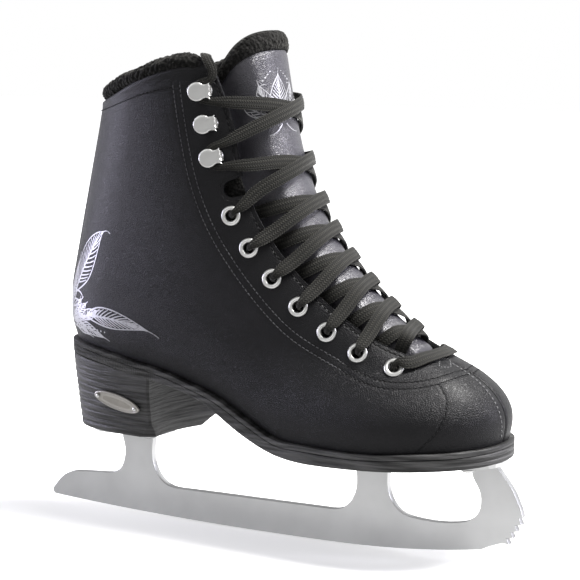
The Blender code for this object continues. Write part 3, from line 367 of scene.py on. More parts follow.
def braid():
    """Flat braid, woven in slanting stitches between lengthwise ribs, on the lace's own coordinates."""
    sheen = {"Sheen_Weight": 0.2, "Sheen_Roughness": 0.4}
    paint = Paint("lace_braid", Roughness=0.82, Specular_IOR_Level=0.25, **sheen)
    across, along = paint.attribute("braid_across"), paint.attribute("braid_along")
    rib = paint.math("PINGPONG", paint.math("MULTIPLY", across, 3.0), 1.0)
    lean = paint.math("MULTIPLY", rib, 1.3)
    stitch = paint.math("PINGPONG", paint.math("ADD", paint.math("DIVIDE", along, 0.62), lean), 1.0)
    weave = paint.math("MULTIPLY", paint.math("ADD", stitch, 0.2), paint.math("ADD", rib, 0.25))
    # Painted shade: the colour follows the weave, darker in the grooves between ribs and stitches, times
    # random tone from noise.
    weave_painted_shade = paint.math("MULTIPLY", weave, paint.math("ADD", paint.noise(900.0), 0.3))
    paint.colour(paint.ramp(weave_painted_shade, (0.05, (0.004, 0.004, 0.004)), (0.85, (0.027, 0.026, 0.022))))
    paint.bump(weave, 0.22)
    paint.bump(paint.noise(5200.0, 2.0), 0.05)
    return paint.material


def metal(name, tint, low, high, stretch=(1, 1, 1), scale=900.0, grain=0.01):
    paint = Paint(name, Metallic=1.0)
    streak = paint.noise(scale, 4.0, stretch=stretch)
    dark = tuple(channel * 0.86 for channel in tint)
    paint.colour(paint.ramp(paint.noise(35.0, 3.0), (0.3, dark), (0.7, tint)))
    paint.rough(streak, low, high)
    paint.bump(streak, grain)
    return paint.material


def rubber(name, tint, low=0.42, high=0.6, layered=False):
    paint = Paint(name, Specular_IOR_Level=0.45)
    light = tuple(channel * 1.7 for channel in tint)
    scuff = paint.noise(70.0, 6.0)
    paint.colour(paint.ramp(scuff, (0.35, tint), (0.75, light)))
    paint.rough(paint.noise(320.0, 5.0), low, high)
    if layered:
        streaks = paint.noise(420.0, 5.0, stretch=(0.1, 0.1, 1.6))
        paint.colour(paint.ramp(streaks, (0.4, tuple(channel * 0.3 for channel in tint)), (0.64, light)))
        paint.bump(streaks, 0.9)
    paint.bump(paint.noise(1800.0, 3.0), 0.05)
    return paint.material


def thread(name, tint):
    paint = Paint(name, Roughness=0.6, Specular_IOR_Level=0.35)
    twist = paint.noise(2600.0, 2.0)
    paint.colour(paint.ramp(twist, (0.3, tuple(channel * 0.6 for channel in tint)), (0.7, tint)))
    paint.bump(twist, 0.08)
    return paint.material


def board():
    paint = Paint("pressed_board", Roughness=0.9)
    fibre = paint.noise(500.0, 6.0)
    paint.colour(paint.ramp(fibre, (0.3, (0.2, 0.14, 0.08)), (0.7, (0.42, 0.33, 0.22))))
    paint.bump(fibre, 0.2)
    return paint.material


def foil():
    """Silver transfer print, slightly worn."""
    paint = Paint("silver_print", Metallic=0.55, Specular_IOR_Level=0.6)
    worn = paint.noise(700.0, 5.0)
    paint.colour(paint.ramp(worn, (0.28, (0.3, 0.3, 0.32)), (0.45, (0.52, 0.52, 0.55))))
    paint.rough(worn, 0.5, 0.3)
    return paint.material


LEATHER = leather("black_leather", seams=True)
LEATHER_PLAIN = leather("black_leather_plain")
PLUSH = plush("curly_plush")
BRAID = braid()
STEEL = metal("satin_steel", (0.73, 0.735, 0.74), 0.26, 0.4, (0.05, 1, 1), 1400.0)
STEEL_BRIGHT = metal("polished_steel", (0.8, 0.8, 0.8), 0.1, 0.22)
NICKEL = metal("satin_nickel", (0.93, 0.93, 0.915), 0.3, 0.4, scale=500.0, grain=0.002)
ANTIQUE = metal("antique_nickel", (0.5, 0.48, 0.45), 0.28, 0.42, scale=700.0, grain=0.02)
RUBBER = rubber("sole_rubber", (0.05, 0.0495, 0.0505), 0.42, 0.6, layered=True)
STACK = rubber("heel_stack_rubber", (0.036, 0.0355, 0.0365), 0.4, 0.58, layered=True)
THREAD = thread("black_thread", (0.006, 0.006, 0.007))
THREAD_PALE = thread("pale_thread", (0.32, 0.32, 0.33))
# Painted sheen: a grey copy of the black thread, for the rows beside the shaft, where the black stitches look
# grey under the light.
THREAD_PAINTED_SHEEN = thread("grey_thread_painted_sheen", (0.11, 0.11, 0.12))
BOARD = board()
FOIL = foil()


# ------------------------------------------------------------------------------- making meshes


def link(name, data):
    made = bpy.data.objects.new(name, data)
    bpy.context.scene.collection.objects.link(made)
    return made


def mesh_of(name, points, faces, merge=False):
    """A mesh with its faces turned outward, in metres."""
    mesh = bpy.data.meshes.new(name)
    mesh.from_pydata(points.tolist(), [], faces)
    build = bmesh.new()
    build.from_mesh(mesh)
    if merge:
        bmesh.ops.remove_doubles(build, verts=build.verts, dist=1e-6)
        bmesh.ops.dissolve_degenerate(build, edges=build.edges, dist=1e-7)
    bmesh.ops.recalc_face_normals(build, faces=build.faces)
    build.to_mesh(mesh)
    build.free()
    return mesh


def finish(mesh, angle, look=None):
    """Shades a mesh smooth, apart from edges sharper than an angle."""
    mesh.shade_smooth()
    mesh.set_sharp_from_angle(angle=math.radians(angle))
    if look:
        mesh.materials.append(look)
    return mesh


def piece(name, points, faces, look, stands_for=(), body="boot", slot=None, millimetres=True):
    """An object of the skate, smooth where it is round, that rides on a body."""
    points = np.reshape(points, (-1, 3)) * (MM if millimetres else 1)
    mesh = finish(mesh_of(name, points, faces), 40, look)
    return settle(link(name, mesh), stands_for, body)


def settle(made, stands_for=(), body="boot"):
    if stands_for:
        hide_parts(*stands_for)
    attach(made, body)
    return made


def quads(index):
    corners = [index[:-1, :-1], index[:-1, 1:], index[1:, 1:], index[1:, :-1]]
    return np.stack(corners, -1).reshape(-1, 4).tolist()


def slab_faces(rows, columns):
    top = np.arange(rows * columns).reshape(rows, columns)
    bottom = top + rows * columns
    rim = [*top[0, :-1], *top[:-1, -1], *top[-1, :0:-1], *top[:0:-1, 0]]
    faces = quads(top) + quads(bottom[:, ::-1])
    for a, b in zip(rim, rim[1:] + rim[:1]):
        faces.append([int(b), int(a), int(a) + rows * columns, int(b) + rows * columns])
    return faces


def slab(name, outside, inside, look, **rest):
    faces = slab_faces(*outside.shape[:2])
    return piece(name, np.concatenate([outside.reshape(-1, 3), inside.reshape(-1, 3)]), faces, look, **rest)


def loft_faces(count, around, closed=False, start=0):
    index = np.arange(count * around).reshape(count, around) + start
    index = np.concatenate([index, index[:, :1]], axis=1)
    if closed:
        index = np.concatenate([index, index[:1]], axis=0)
    faces = quads(index)
    if not closed:
        faces += [index[0, :-1].tolist(), index[-1, -2::-1].tolist()]
    return faces


def loft(name, rings, look, closed=False, **rest):
    return piece(name, rings, loft_faces(*rings.shape[:2], closed), look, **rest)


def set_numbers(made, name, values):
    """A number on each point, which the materials read by name."""
    stored = made.data.attributes.new(name, "FLOAT", "POINT")
    stored.data.foreach_set("value", np.asarray(values, np.float32).ravel())


def turned(profile, steps=40):
    """Points and faces of a turned ring or knob about Z, from its closed profile of (radius, height)."""
    angle = np.linspace(0, 2 * math.pi, steps + 1)[:-1]
    profile = np.asarray(profile, float)
    rings = np.stack([
        np.outer(np.cos(angle), profile[:, 0]), np.outer(np.sin(angle), profile[:, 0]),
        np.broadcast_to(profile[:, 1], (steps, len(profile))),
    ], axis=-1)
    return rings.reshape(-1, 3), loft_faces(steps, len(profile), closed=True)


def joined(parts):
    """Points and faces of several shapes as one."""
    points, faces, start = [], [], 0
    for part_points, part_faces in parts:
        part_points = np.reshape(part_points, (-1, 3))
        points.append(part_points)
        faces += [[i + start for i in face] for face in part_faces]
        start += len(part_points)
    return np.concatenate(points), faces


def put(points, matrix):
    """Points in millimetres in a frame, as metres in the skate's frame."""
    points = np.reshape(points, (-1, 3)) * MM
    matrix = np.array(matrix)
    return points @ matrix[:3, :3].T + matrix[:3, 3]


def cut(made, shapes):
    """Takes solids, in metres, out of a mesh, and keeps the numbers on its points."""
    cutter = link("cutter", mesh_of("cutter", *joined(shapes)))
    boolean = made.modifiers.new("Holes", "BOOLEAN")
    boolean.object = cutter
    boolean.solver = "EXACT"
    bpy.context.view_layer.update()
    done = bpy.data.meshes.new_from_object(made.evaluated_get(bpy.context.evaluated_depsgraph_get()))
    made.modifiers.clear()
    made.data = finish(done, 40)
    bpy.data.objects.remove(cutter)


def drill(frame_here, radius, low, high, sides):
    """A round cutter along the Z of a frame."""
    around = radius * np.cos(circle(sides)), radius * np.sin(circle(sides))
    rings = [np.column_stack([*around, np.full(sides, z)]) for z in (low, high)]
    return put(np.stack(rings), frame_here), loft_faces(2, sides)


def tube_path(points, normals, pitch, length, radius):
    """Stitches along a line: short arched bars that dip into the leather at both ends."""
    at = lengths(points)
    shapes = []
    for start in np.arange(pitch * 0.5, at[-1] - length, pitch):
        t = start + np.array([0.0, 0.12, 0.5, 0.88, 1.0]) * length
        middle = np.stack([np.interp(t, at, points[:, k]) for k in range(3)], 1)
        out = np.stack([np.interp(t, at, normals[:, k]) for k in range(3)], 1)
        middle = middle + out * (np.array([-0.35, 0.02, 0.2, 0.02, -0.35]) * radius / 0.3)[:, None]
        side = np.cross(unit(middle[-1] - middle[0]), out)
        angle = circle(6)
        wide = np.array([0.7, 1, 1.05, 1, 0.7])[:, None, None] * radius
        ring = side[:, None] * np.cos(angle)[:, None] + out[:, None] * np.sin(angle)[:, None]
        shapes.append((middle[:, None] + ring * wide, loft_faces(5, 6)))
    return shapes


def stitches(name, lines, look=None, pitch=3.1, length=2.35, radius=0.27, lift=0.0, body="boot"):
    """One piece for several lines of stitching, each given as v and turn."""
    shapes = []
    for v, turn in lines:
        shapes += tube_path(layer(v, turn, lift), outward(v, turn), pitch, length, radius)
    return piece(name, *joined(shapes), look or THREAD, body=body)


# ------------------------------------------------------------------------------ camera and light


def aim(name, data, place, target):
    made = link(name, data)
    made.location = place
    made.rotation_mode = "QUATERNION"
    made.rotation_quaternion = (Vector(target) - Vector(place)).to_track_quat("-Z", "Y")
    return made


CENTRE = (0.0, 0.0, 0.125)
lens = bpy.data.cameras.new("camera")
lens.lens, lens.sensor_width = 124.1, 36.0
bpy.context.scene.camera = aim("camera", lens, (0.510, -0.8576, 0.2647), (0.015, 0, 0.1255))

SOFTBOXES = (  # name, place, width, height, power, colour
    ("overhead", (0.52, 0.14, 1.15), 0.5, 0.45, 34.0, (1.0, 0.99, 0.96)),
    ("front_right", (0.95, 0.5, 0.42), 0.22, 0.7, 6.0, (0.9, 0.88, 1.0)),
    ("heel_strip", (-1.15, -0.2, 0.2), 0.45, 0.8, 10.5, (0.82, 0.8, 1.0)),
    ("front_left", (-0.35, -1.15, 0.75), 0.8, 0.5, 1.4, (1.0, 1.0, 1.0)),
    ("inner_fill", (0.1, 1.2, 0.5), 0.9, 0.9, 2.0, (1.0, 1.0, 1.0)),
)
for name, place, width, height, power, tint in SOFTBOXES:
    light = bpy.data.lights.new(name, "AREA")
    light.shape, light.size, light.size_y = "RECTANGLE", width, height
    light.energy, light.color = power, tint
    aim(name, light, place, CENTRE)

world = bpy.context.scene.world or bpy.data.worlds.new("studio")
bpy.context.scene.world = world
world.use_nodes = True
sky = world.node_tree.nodes["Background"]
sky.inputs["Color"].default_value = (1, 1, 1, 1)
seen = world.node_tree.nodes.new("ShaderNodeLightPath").outputs["Is Camera Ray"]
level = world.node_tree.nodes.new("ShaderNodeMapRange")
level.inputs["To Min"].default_value, level.inputs["To Max"].default_value = 0.42, 1.0
world.node_tree.links.new(seen, level.inputs["Value"])
world.node_tree.links.new(level.outputs["Result"], sky.inputs["Strength"])
bpy.context.scene.view_settings.view_transform = "Standard"


def floor():
    side = 4.0
    corners = [(-side, -side, -0.0005), (side, -side, -0.0005), (side, side, -0.0005), (-side, side, -0.0005)]
    mesh = bpy.data.meshes.new("floor")
    mesh.from_pydata(corners, [], [(0, 1, 2, 3)])
    paint = Paint("floor_paper", Roughness=0.85, Specular_IOR_Level=0.1)
    pale = paint.ramp(paint.noise(3.0, 2.0), (0.3, 0.9), (0.7, 0.93))
    eye = paint.node("ShaderNodeLightPath").outputs["Is Camera Ray"]
    mixed = {0: eye, 6: (0.3, 0.3, 0.3, 1), 7: pale}
    paint.colour(paint.node("ShaderNodeMix", mixed, data_type="RGBA").outputs[2])
    behind = paint.node("ShaderNodeSeparateXYZ", {"Vector": paint.where}).outputs["Y"]
    rising = {"Value": behind, "From Min": -0.25, "From Max": 0.3, "To Max": 0.85}
    glow = paint.node("ShaderNodeMapRange", rising)
    paint.shader.inputs["Emission Color"].default_value = (1, 1, 1, 1)
    paint.tree.links.new(glow.outputs[0], paint.shader.inputs["Emission Strength"])
    mesh.materials.append(paint.material)
    made = link("floor", mesh)


floor()

# ------------------------------------------------------------------------------ the leather upper

LINING = (-8.9, -5.9)  # depths from the form
LINING_EDGE = (-6.2, -5.3)  # thinned beside the throat
LINING_START = 0.07  # how far it stops from the throat's edge, as a share of the facing's width
LACE_UNDER = -8.2
STITCH_GAP = 3.7  # between the two rows that follow the facing
COLLAR_STITCH = 0.974  # v of the row under the collar's edge


def half_boot(side, start, top_v, columns, near, rows):
    """v, turn and distance from the top edge over one side of the boot, in rows down to the sole."""
    back_columns, edge_columns = columns
    collar_turn = mix(THROAT[0][1], THROAT[0][3], start)
    away_share = np.linspace(0, 1, back_columns + 1)[:-1]
    share = np.linspace(0, 1, edge_columns)
    rung, turn = facing_place(np.linspace(0, 1, 400), start)
    edge_v = np.minimum(on_rung(rung, turn), top_v)
    length = lengths(form(edge_v, turn))
    along = share * length[-1]
    top_turns = np.concatenate([mix(180 - SEAM, collar_turn, away_share), np.interp(along, length, turn)])
    top_vs = np.concatenate([np.full(back_columns, top_v), np.interp(along, length, edge_v)])
    corner = 112.0
    bottom_turns = np.concatenate([mix(180 - SEAM, corner, away_share), mix(corner, SEAM, share)])
    fine = np.linspace(0, 1, 30)[:, None]
    column = form(fine * top_vs, side * mix(bottom_turns, top_turns, fine))
    height = np.linalg.norm(np.diff(column, axis=0), axis=-1).sum(axis=0)
    fractions = [1 - distance / height for distance in near]
    fractions += [fractions[-1] * step for step in np.linspace(1, 0, rows + 1)[1:]]
    fraction = np.array(fractions)
    return fraction * top_vs, side * mix(bottom_turns, top_turns, fraction), (1 - fraction) * height


def seam_lines(side):
    """The lines of stitching on one side, as v and turn."""
    found = {"outer": facing_line(1.0, side, 0.035), "throat": inset(facing_line(0.0, side, 0.02), side, 2.3)}
    found["inner"] = inset(found["outer"], side, -STITCH_GAP)
    start = -found["outer"][1][0] if side < 0 else found["outer"][1][0]
    turn = np.linspace(start, 180 - SEAM, 160)
    found["collar"] = np.full(turn.shape, COLLAR_STITCH), side * turn
    toe_rows = ((0.328, 26.7), (0.285, 27.2), (0.238, 28.4), (0.14, 32.0), (0.071, 35.8), (0.0, 40.0))
    toe = run(toe_rows, 60)
    found["toe"] = toe[:, 0], side * toe[:, 1]
    return found


def inset(line, side, distance):
    """The line beside another one, at a distance towards the sole."""
    v, turn = line
    points, out = form(v, turn), outward(v, turn)
    beside = np.cross(directions(points), out) * -side
    return find(points + beside * distance, v, turn)


def away_from(points, line):
    """Signed distance of points from a line on the form, and how far past its ends they are."""
    v, turn = line
    spots, out = form(v, turn), outward(v, turn)
    ahead = directions(spots)
    beside = np.cross(out, ahead)
    near = np.empty(len(points), int)
    for start in range(0, len(points), 4000):
        block = points[start : start + 4000]
        near[start : start + 4000] = ((block[:, None] - spots[None]) ** 2).sum(2).argmin(1)
    offset = points - spots[near]
    signed = (offset * beside[near]).sum(1)
    past = np.abs((offset * ahead[near]).sum(1))
    return np.where(past > 1.5, 9.0, signed)


def dip(away, depth, half):
    return -depth * np.exp(-((away / half) ** 2))


def leathers():
    near = (0.0, 0.25, 0.6, 1.0, 1.5, 2.0, 2.5, 3.1, 4.0)
    for name, side in SIDES:
        v, turn, away = half_boot(side, 0.0, 1.0, (75, 150), near, 105)
        edge = 0.3 * np.exp(-(((away - 1.0) / 0.8) ** 2)) - 0.75 * np.exp(-((away / 0.35) ** 2))
        lines = seam_lines(side)
        flat = form(v, turn).reshape(-1, 3)
        depths = {"outer": 0.1, "inner": 0.1, "throat": 0.2, "collar": 0.08}
        relief = sum(dip(away_from(flat, lines[key]), depth, 0.75) for key, depth in depths.items())
        relief += dip(away_from(flat, lines["toe"]), 0.14, 0.7)
        middle = away_from(flat, lines["outer"])
        relief += 0.07 * np.exp(-(((np.abs(middle) - 1.85) / 1.0) ** 2))
        seam = np.minimum(np.abs(turn), 180 - np.abs(turn)) * np.where(np.abs(turn) > 90, 0.98, 1.16)
        high = edge + relief.reshape(v.shape) - 0.7 * np.exp(-((seam / 0.7) ** 2))
        low = np.full(v.shape, -2.0)
        made = slab(f"leather_{name}", layer(v, turn, high), layer(v, turn, low), LEATHER,
                    stands_for=[f"upper_{name}"], slot="black_leather")
        cut(made, lacing_bores(side, 3.9, 1.9, -4.5, 30) + [ankle_notch(side)])
        points = np.array([vertex.co for vertex in made.data.vertices]) / MM
        for key in ("outer", "inner", "throat", "toe"):
            set_numbers(made, f"seam_{key}", away_from(points, lines[key]))


def lacing_bores(side, eyelet_radius, hook_radius, depth, sides):
    """A bore for every eyelet and hook of one side."""
    spots = [(*spot, 0.0, eyelet_radius) for spot in EYELETS]
    spots += [(*spot, HOOK_SHIFT, hook_radius) for spot in HOOKS]
    shapes = []
    for rung, turn, shift, radius in spots:
        place = place_on_form(rung, side * turn) @ Matrix.Translation((shift * MM, 0, 0))
        shapes.append(drill(place, radius, depth, 5.0, sides))
    return shapes


def ankle_frame(side):
    """The middle of the cut between the eyelets and the hooks."""
    return place_on_form(0.868, side * 55.5)


def ankle_notch(side):
    """The rounded cut between the eyelets and the hooks, open to the throat."""
    arc = np.radians(np.linspace(90, 270, 33))
    rim = [(4.2 * math.cos(a), 4.2 * math.sin(a)) for a in arc] + [(22, -6.2), (22, 6.2)]
    rings = np.array([[(x, y, z) for x, y in rim] for z in (-8.0, 8.0)])
    return put(rings, ankle_frame(side)), loft_faces(2, len(rim))


def upper_stitching():
    for name, side in SIDES:
        lines = seam_lines(side)
        over_toe, beside_shaft = [], []
        for key in ("outer", "inner"):
            v, turn = lines[key]
            forward = form(v, turn)[:, 0] > 62
            over_toe.append((v[forward], turn[forward]))
            beside_shaft.append((v[~forward], turn[~forward]))
        # The rows beside the shaft take the grey thread, a painted sheen on black thread.
        stitches(f"stitching_facing_{name}", beside_shaft, THREAD_PAINTED_SHEEN, 2.4, 1.7, 0.22, -0.04)
        stitches(f"stitching_facing_toe_{name}", over_toe, pitch=2.6, length=1.8, radius=0.26, lift=-0.06)
        stitches(f"stitching_collar_{name}", [lines["collar"]], pitch=2.3, length=1.6, radius=0.3, lift=-0.04)
        throat = notched(lines["throat"], side)
        stitches(f"stitching_throat_{name}", throat, pitch=2.8, length=2.1, lift=-0.12)
        stitches(f"stitching_toe_{name}", [lines["toe"]], pitch=2.6, length=2.0, radius=0.22, lift=-0.08)
    v = np.linspace(0.02, 0.425, 120)
    beside = -SEAM - 2.4 - 2.2 * np.sin(math.pi * v / 0.44)
    stitches("stitching_toe_seam", [(v, beside)], THREAD_PALE, 2.4, 1.4, 0.22, 0.0)


def notched(line, side):
    """The pieces of a line that stay clear of the ankle's cut."""
    v, turn = line
    middle = np.array(ankle_frame(side).translation) / MM
    clear = np.linalg.norm(form(v, turn) - middle, axis=1) > 15.5
    runs, start = [], None
    for i, ok in enumerate([*clear, False]):
        if ok and start is None:
            start = i
        elif not ok and start is not None:
            if i - start > 8:
                runs.append((v[start:i], turn[start:i]))
            start = None
    arc = np.radians(np.linspace(78, 282, 40))
    rim = np.column_stack([6.1 * np.cos(arc), 6.1 * np.sin(arc), 0 * arc])
    mouth = np.array([(9.6, 8.0, 0.0), (5.0, 6.9, 0.0)])
    rim = np.concatenate([mouth, rim, mouth[::-1] * (1, -1, 1)])
    points = run(put(rim, ankle_frame(side)) / MM, 90)
    return [*runs, find(points, 0.85, side * 56.0)]


def bar_tack():
    """The small rectangle of stitching beside the throat's end."""
    corners = ((0.411, -15.0), (0.404, -8.5), (0.434, 0.5), (0.443, -6.5), (0.411, -15.0))
    lines = []
    for (v_a, turn_a), (v_b, turn_b) in zip(corners, corners[1:]):
        t = np.linspace(0, 1, 20)
        lines.append((mix(v_a, v_b, t), mix(turn_a, turn_b, t)))
    stitches("stitching_bar_tack", lines, THREAD_PALE, 1.7, 0.95, 0.19, 0.0)


def backstay():
    v = np.linspace(0.01, 0.985, 130)[:, None]
    share = np.array([-1, -0.97, -0.9, -0.8, -0.6, -0.3, 0, 0.3, 0.6, 0.8, 0.9, 0.97, 1.0])
    reach = np.degrees(6.2 / mix(56.0, 31.0, v))
    turn = 180 + reach * share
    v = v + 0 * turn
    rounded = 1.75 - 1.2 * np.abs(share) ** 14 + dip(np.abs(share) - 0.72, 0.2, 0.09) + 0 * turn
    slab("backstay_strip", layer(v, turn, rounded), layer(v, turn, 0.08 + 0 * v), LEATHER_PLAIN,
         stands_for=["backstay"], slot="black_leather")
    lines = [(v[:, 0], (180 + reach * place)[:, 0]) for place in (-0.72, 0.72)]
    stitches("stitching_backstay", lines, lift=1.5, pitch=2.8, length=2.1)


def linings():
    for name, side in SIDES:
        v, turn, away = half_boot(side, LINING_START, 0.985, (60, 120), (0.0, 0.6, 1.4, 2.4, 3.6), 80)
        points = form(v, turn)
        edge_v, edge_turn = facing_line(0.0, side, count=160)
        edge = form(edge_v, edge_turn)
        flat = points.reshape(-1, 3)
        throat = np.array([np.linalg.norm(edge - point, axis=1).min() for point in flat]).reshape(v.shape)
        low = mix(LINING_EDGE[0], LINING[0], ease((throat - 18) / 6))
        high = mix(LINING_EDGE[1], LINING[1], ease((throat - 21) / 7))
        curls = 0.8 * cells(flat, 2.1).reshape(v.shape) * ease(throat / 26 + away / 90)
        edge_round = 0.5 * np.exp(-((away / 0.9) ** 2))
        outside, inside = layer(v, turn, high - edge_round), layer(v, turn, low + curls + edge_round)
        made = slab(f"lining_plush_{name}", outside, inside, PLUSH, stands_for=[f"lining_{name}"],
                    slot="black_plush")
        cut(made, lacing_bores(side, 4.7, 3.1, -9.5, 24))


def curled(rings, centre, size, depth, seed=0):
    """Pushes the points of a padded loft outward into curls of plush."""
    flat = rings.reshape(-1, 3)
    out = unit((rings - centre[:, None]).reshape(-1, 3))
    lift = depth * (0.75 - cells(flat, size, seed))
    return (flat + out * lift[:, None]).reshape(rings.shape)


def collar_roll():
    start = 59.5
    turn = np.linspace(start, 360 - start, 580)
    from_back = np.abs(turn - 180)
    radius = mix(3.75, 4.1, ease((from_back - 60) / 20))
    lift = mix(4.6, 2.1, ease((from_back - 58) / 22)) - 2.2 * ease((from_back - 108) / 12)
    here = np.ones(turn.shape)
    centre = layer(here, turn, -3.9) + lift[:, None] * (0, 0, 1)
    flat = unit(outward(here, turn) * (1, 1, 0))
    angle = circle(36)
    ends = np.sqrt(np.clip((180.3 - start - from_back) / 4.5, 0, 1))
    ring = flat[:, None] * np.cos(angle)[:, None] + np.sin(angle)[:, None] * (0, 0, 1)
    rings = centre[:, None] + (radius * ends)[:, None, None] * ring
    made = loft("collar_plush", curled(rings, centre, 1.75, 1.25), PLUSH,
                stands_for=["collar_roll"], slot="black_plush")


# ------------------------------------------------------------------------------------- the tongue

TONGUE_HALF_TURN = (
    (0.42, 26), (0.47, 31), (0.55, 39), (0.65, 47), (0.75, 54), (0.85, 60), (0.95, 60), (1.0, 54), (1.04, 53),
)


TONGUE_ROOT, TONGUE_TOP = 0.425, 1.012  # rungs of the leather's two ends
PLUSH_START, PLUSH_TOP = 1.0135, 1.036  # rungs of the plush that rolls over its top


def tongue_depth(rung, turn):
    beside = np.abs(turn) / np.maximum(throat_turn(rung), 4)
    under = np.maximum(ease((beside - 0.45) / 0.6), ease((0.5 - rung) / 0.045))
    return mix(-1.5, -9.8, under)


def tongue_rung(level, across):
    """The rung of a level of the tongue, whose top edge falls away to its two corners."""
    return TONGUE_ROOT + (level - TONGUE_ROOT) * (1 - 0.085 * np.abs(across) ** 4)


def tongue_place(rung, across):
    turn = table(TONGUE_HALF_TURN, np.ravel(rung)).reshape(np.shape(rung)) * across
    return on_rung(rung, turn), turn


def tongue():
    across = np.concatenate([[-1, -0.985], np.linspace(-0.96, 0.96, 70), [0.985, 1]])
    level = np.concatenate([np.linspace(TONGUE_ROOT, 1.0, 110), [1.004, 1.008, 1.0105, TONGUE_TOP]])
    level = level[:, None] + 0 * across
    rung = tongue_rung(level, across)
    v, turn = tongue_place(rung, across)
    depth = tongue_depth(rung, turn)
    top = TONGUE_TOP - level
    edge = -0.45 * np.exp(-((top * 160 / 0.5) ** 2))
    slab("tongue_leather", layer(v, turn, depth + edge), layer(v, turn, depth - 1.6), TONGUE_LEATHER_PAINTED_HIGHLIGHT,
         stands_for=["tongue_shell"], body="tongue", slot="black_leather")

    levels = [np.linspace(TONGUE_ROOT, TONGUE_TOP, 90), np.linspace(PLUSH_START, PLUSH_TOP, 36)]
    levels = np.concatenate(levels)
    across = np.linspace(-1, 1, 120)
    rung = tongue_rung(levels[:, None], across)
    v, turn = tongue_place(rung, across)
    t = np.clip((levels - PLUSH_START) / (PLUSH_TOP - PLUSH_START), 0, 1)
    rolled = levels >= PLUSH_START
    rise = np.where(rolled, 3.0 * np.sqrt(np.clip(1 - (1.7 * t - 0.7) ** 2, 0, 1)), 0)
    sink = np.where(rolled, 2.2 * t**3, 0)
    face = tongue_depth(rung, turn) - 1.9
    flat = form(v, turn).reshape(-1, 3)
    curls = (cells(flat, 1.75, 5) - 0.7).reshape(v.shape)
    high = face + rise[:, None] - np.where(rolled, 1.0, 0)[:, None] * curls
    low = face - 4.0 + sink[:, None] + 0.7 * (curls + 0.7)
    made = slab("tongue_plush", layer(v, turn, high), layer(v, turn, low), PLUSH,
                stands_for=["tongue_pile"], body="tongue", slot="black_plush")


# ---------------------------------------------------------------------------- eyelets, hooks, lace


def copies(name, points, faces, look, frames, slot):
    """The same small fitting at each of its places, under the names of its CAD nodes."""
    mesh = finish(mesh_of(name, np.reshape(points, (-1, 3)) * MM, faces, merge=True), 38, look)
    for node, place in frames:
        made = link(f"{node}_metal", mesh)
        made.matrix_world = place
        settle(made, [node], "boot")


def lacing_places(kind, spots):
    """Name and frame of every eyelet or hook."""
    return [(f"{kind}_{name}_{number}", place_on_form(rung, side * turn))
            for name, side in SIDES for number, (rung, turn) in enumerate(spots, 1)]


def eyelets():
    profile = (
        (2.6, -5.5), (2.6, 0.1), (2.7, 0.6), (2.95, 0.92), (3.35, 1.12), (3.8, 1.17), (4.25, 1.06),
        (4.6, 0.82), (4.85, 0.48), (4.9, 0.2), (4.7, 0.08), (3.2, 0.08), (3.2, -4.9), (4.1, -4.95),
        (4.15, -5.2), (3.8, -5.5),
    )
    copies("eyelet", *turned(profile, 48), NICKEL, lacing_places("eyelet", EYELETS), "satin_nickel")


def hooks():
    """A riveted foot, a folded neck on the throat side, and a round cap with a fishtail where it folds."""
    foot = ((0, 1.05), (2.9, 1.05), (3.4, 0.9), (3.6, 0.55), (3.6, 0.1), (1.5, 0.1), (1.5, -4.8),
            (2.6, -4.9), (2.4, -5.4), (0, -5.4))
    points, faces = turned(foot, 36)
    parts = [(points + (HOOK_SHIFT, 0, 0), faces)]
    neck = np.array([(4.6, 0.5), (6.3, 0.5), (6.7, 0.8), (6.8, 1.4), (6.8, 3.6), (6.6, 4.2), (6.1, 4.5),
                     (4.0, 4.5), (4.0, 4.1), (5.8, 4.0), (6.1, 3.6), (6.15, 1.4), (6.0, 1.05), (4.6, 1.0)])
    y = np.linspace(-2.4, 2.4, 25)
    rib = 0.14 * np.cos(y / 4.8 * 6 * 2 * math.pi)
    bulge = np.where(neck[:, 0] > 5.9, 1.0, 0.0)
    rings = [np.column_stack([neck[:, 0] + r * bulge, np.full(14, yy), neck[:, 1]]) for yy, r in zip(y, rib)]
    parts.append((np.stack(rings), loft_faces(25, 14)))
    angle = np.radians(np.linspace(50, 310, 54))
    tail = [(3.9, -3.3), (4.9, -3.3), (5.9, -3.6), (6.8, -4.0), (6.3, -3.1), (6.9, -2.2), (6.2, -1.2),
            (6.8, -0.2), (6.2, 0.9), (6.9, 1.9), (6.3, 3.0), (6.8, 4.0), (5.9, 3.6), (4.9, 3.3), (3.9, 3.3)]
    outline = np.array([(4.6 * math.cos(a), 4.6 * math.sin(a)) for a in angle] + tail)
    rows = ((0.2, 3.85), (0.93, 3.85), (0.985, 4.0), (1.0, 4.3), (0.985, 4.6), (0.93, 4.82), (0.8, 4.9),
            (0.5, 4.84), (0.2, 4.8))
    cap = np.stack([np.column_stack([outline * scale, np.full(len(outline), z)]) for scale, z in rows])
    parts.append((cap, loft_faces(len(rows), len(outline))))
    copies("hook", *joined(parts), NICKEL, lacing_places("hook", HOOKS), "satin_nickel")


OPEN = (3.4, 0.6)  # the lace's half width and half thickness where it lies flat
BUNCHED = (1.4, 0.9)  # and where it goes through an eyelet
HOOKED = (1.9, 0.85)
LACE_CREST = (0.2, 2.2)  # heights over the throat's middle of the strands that cross below and above


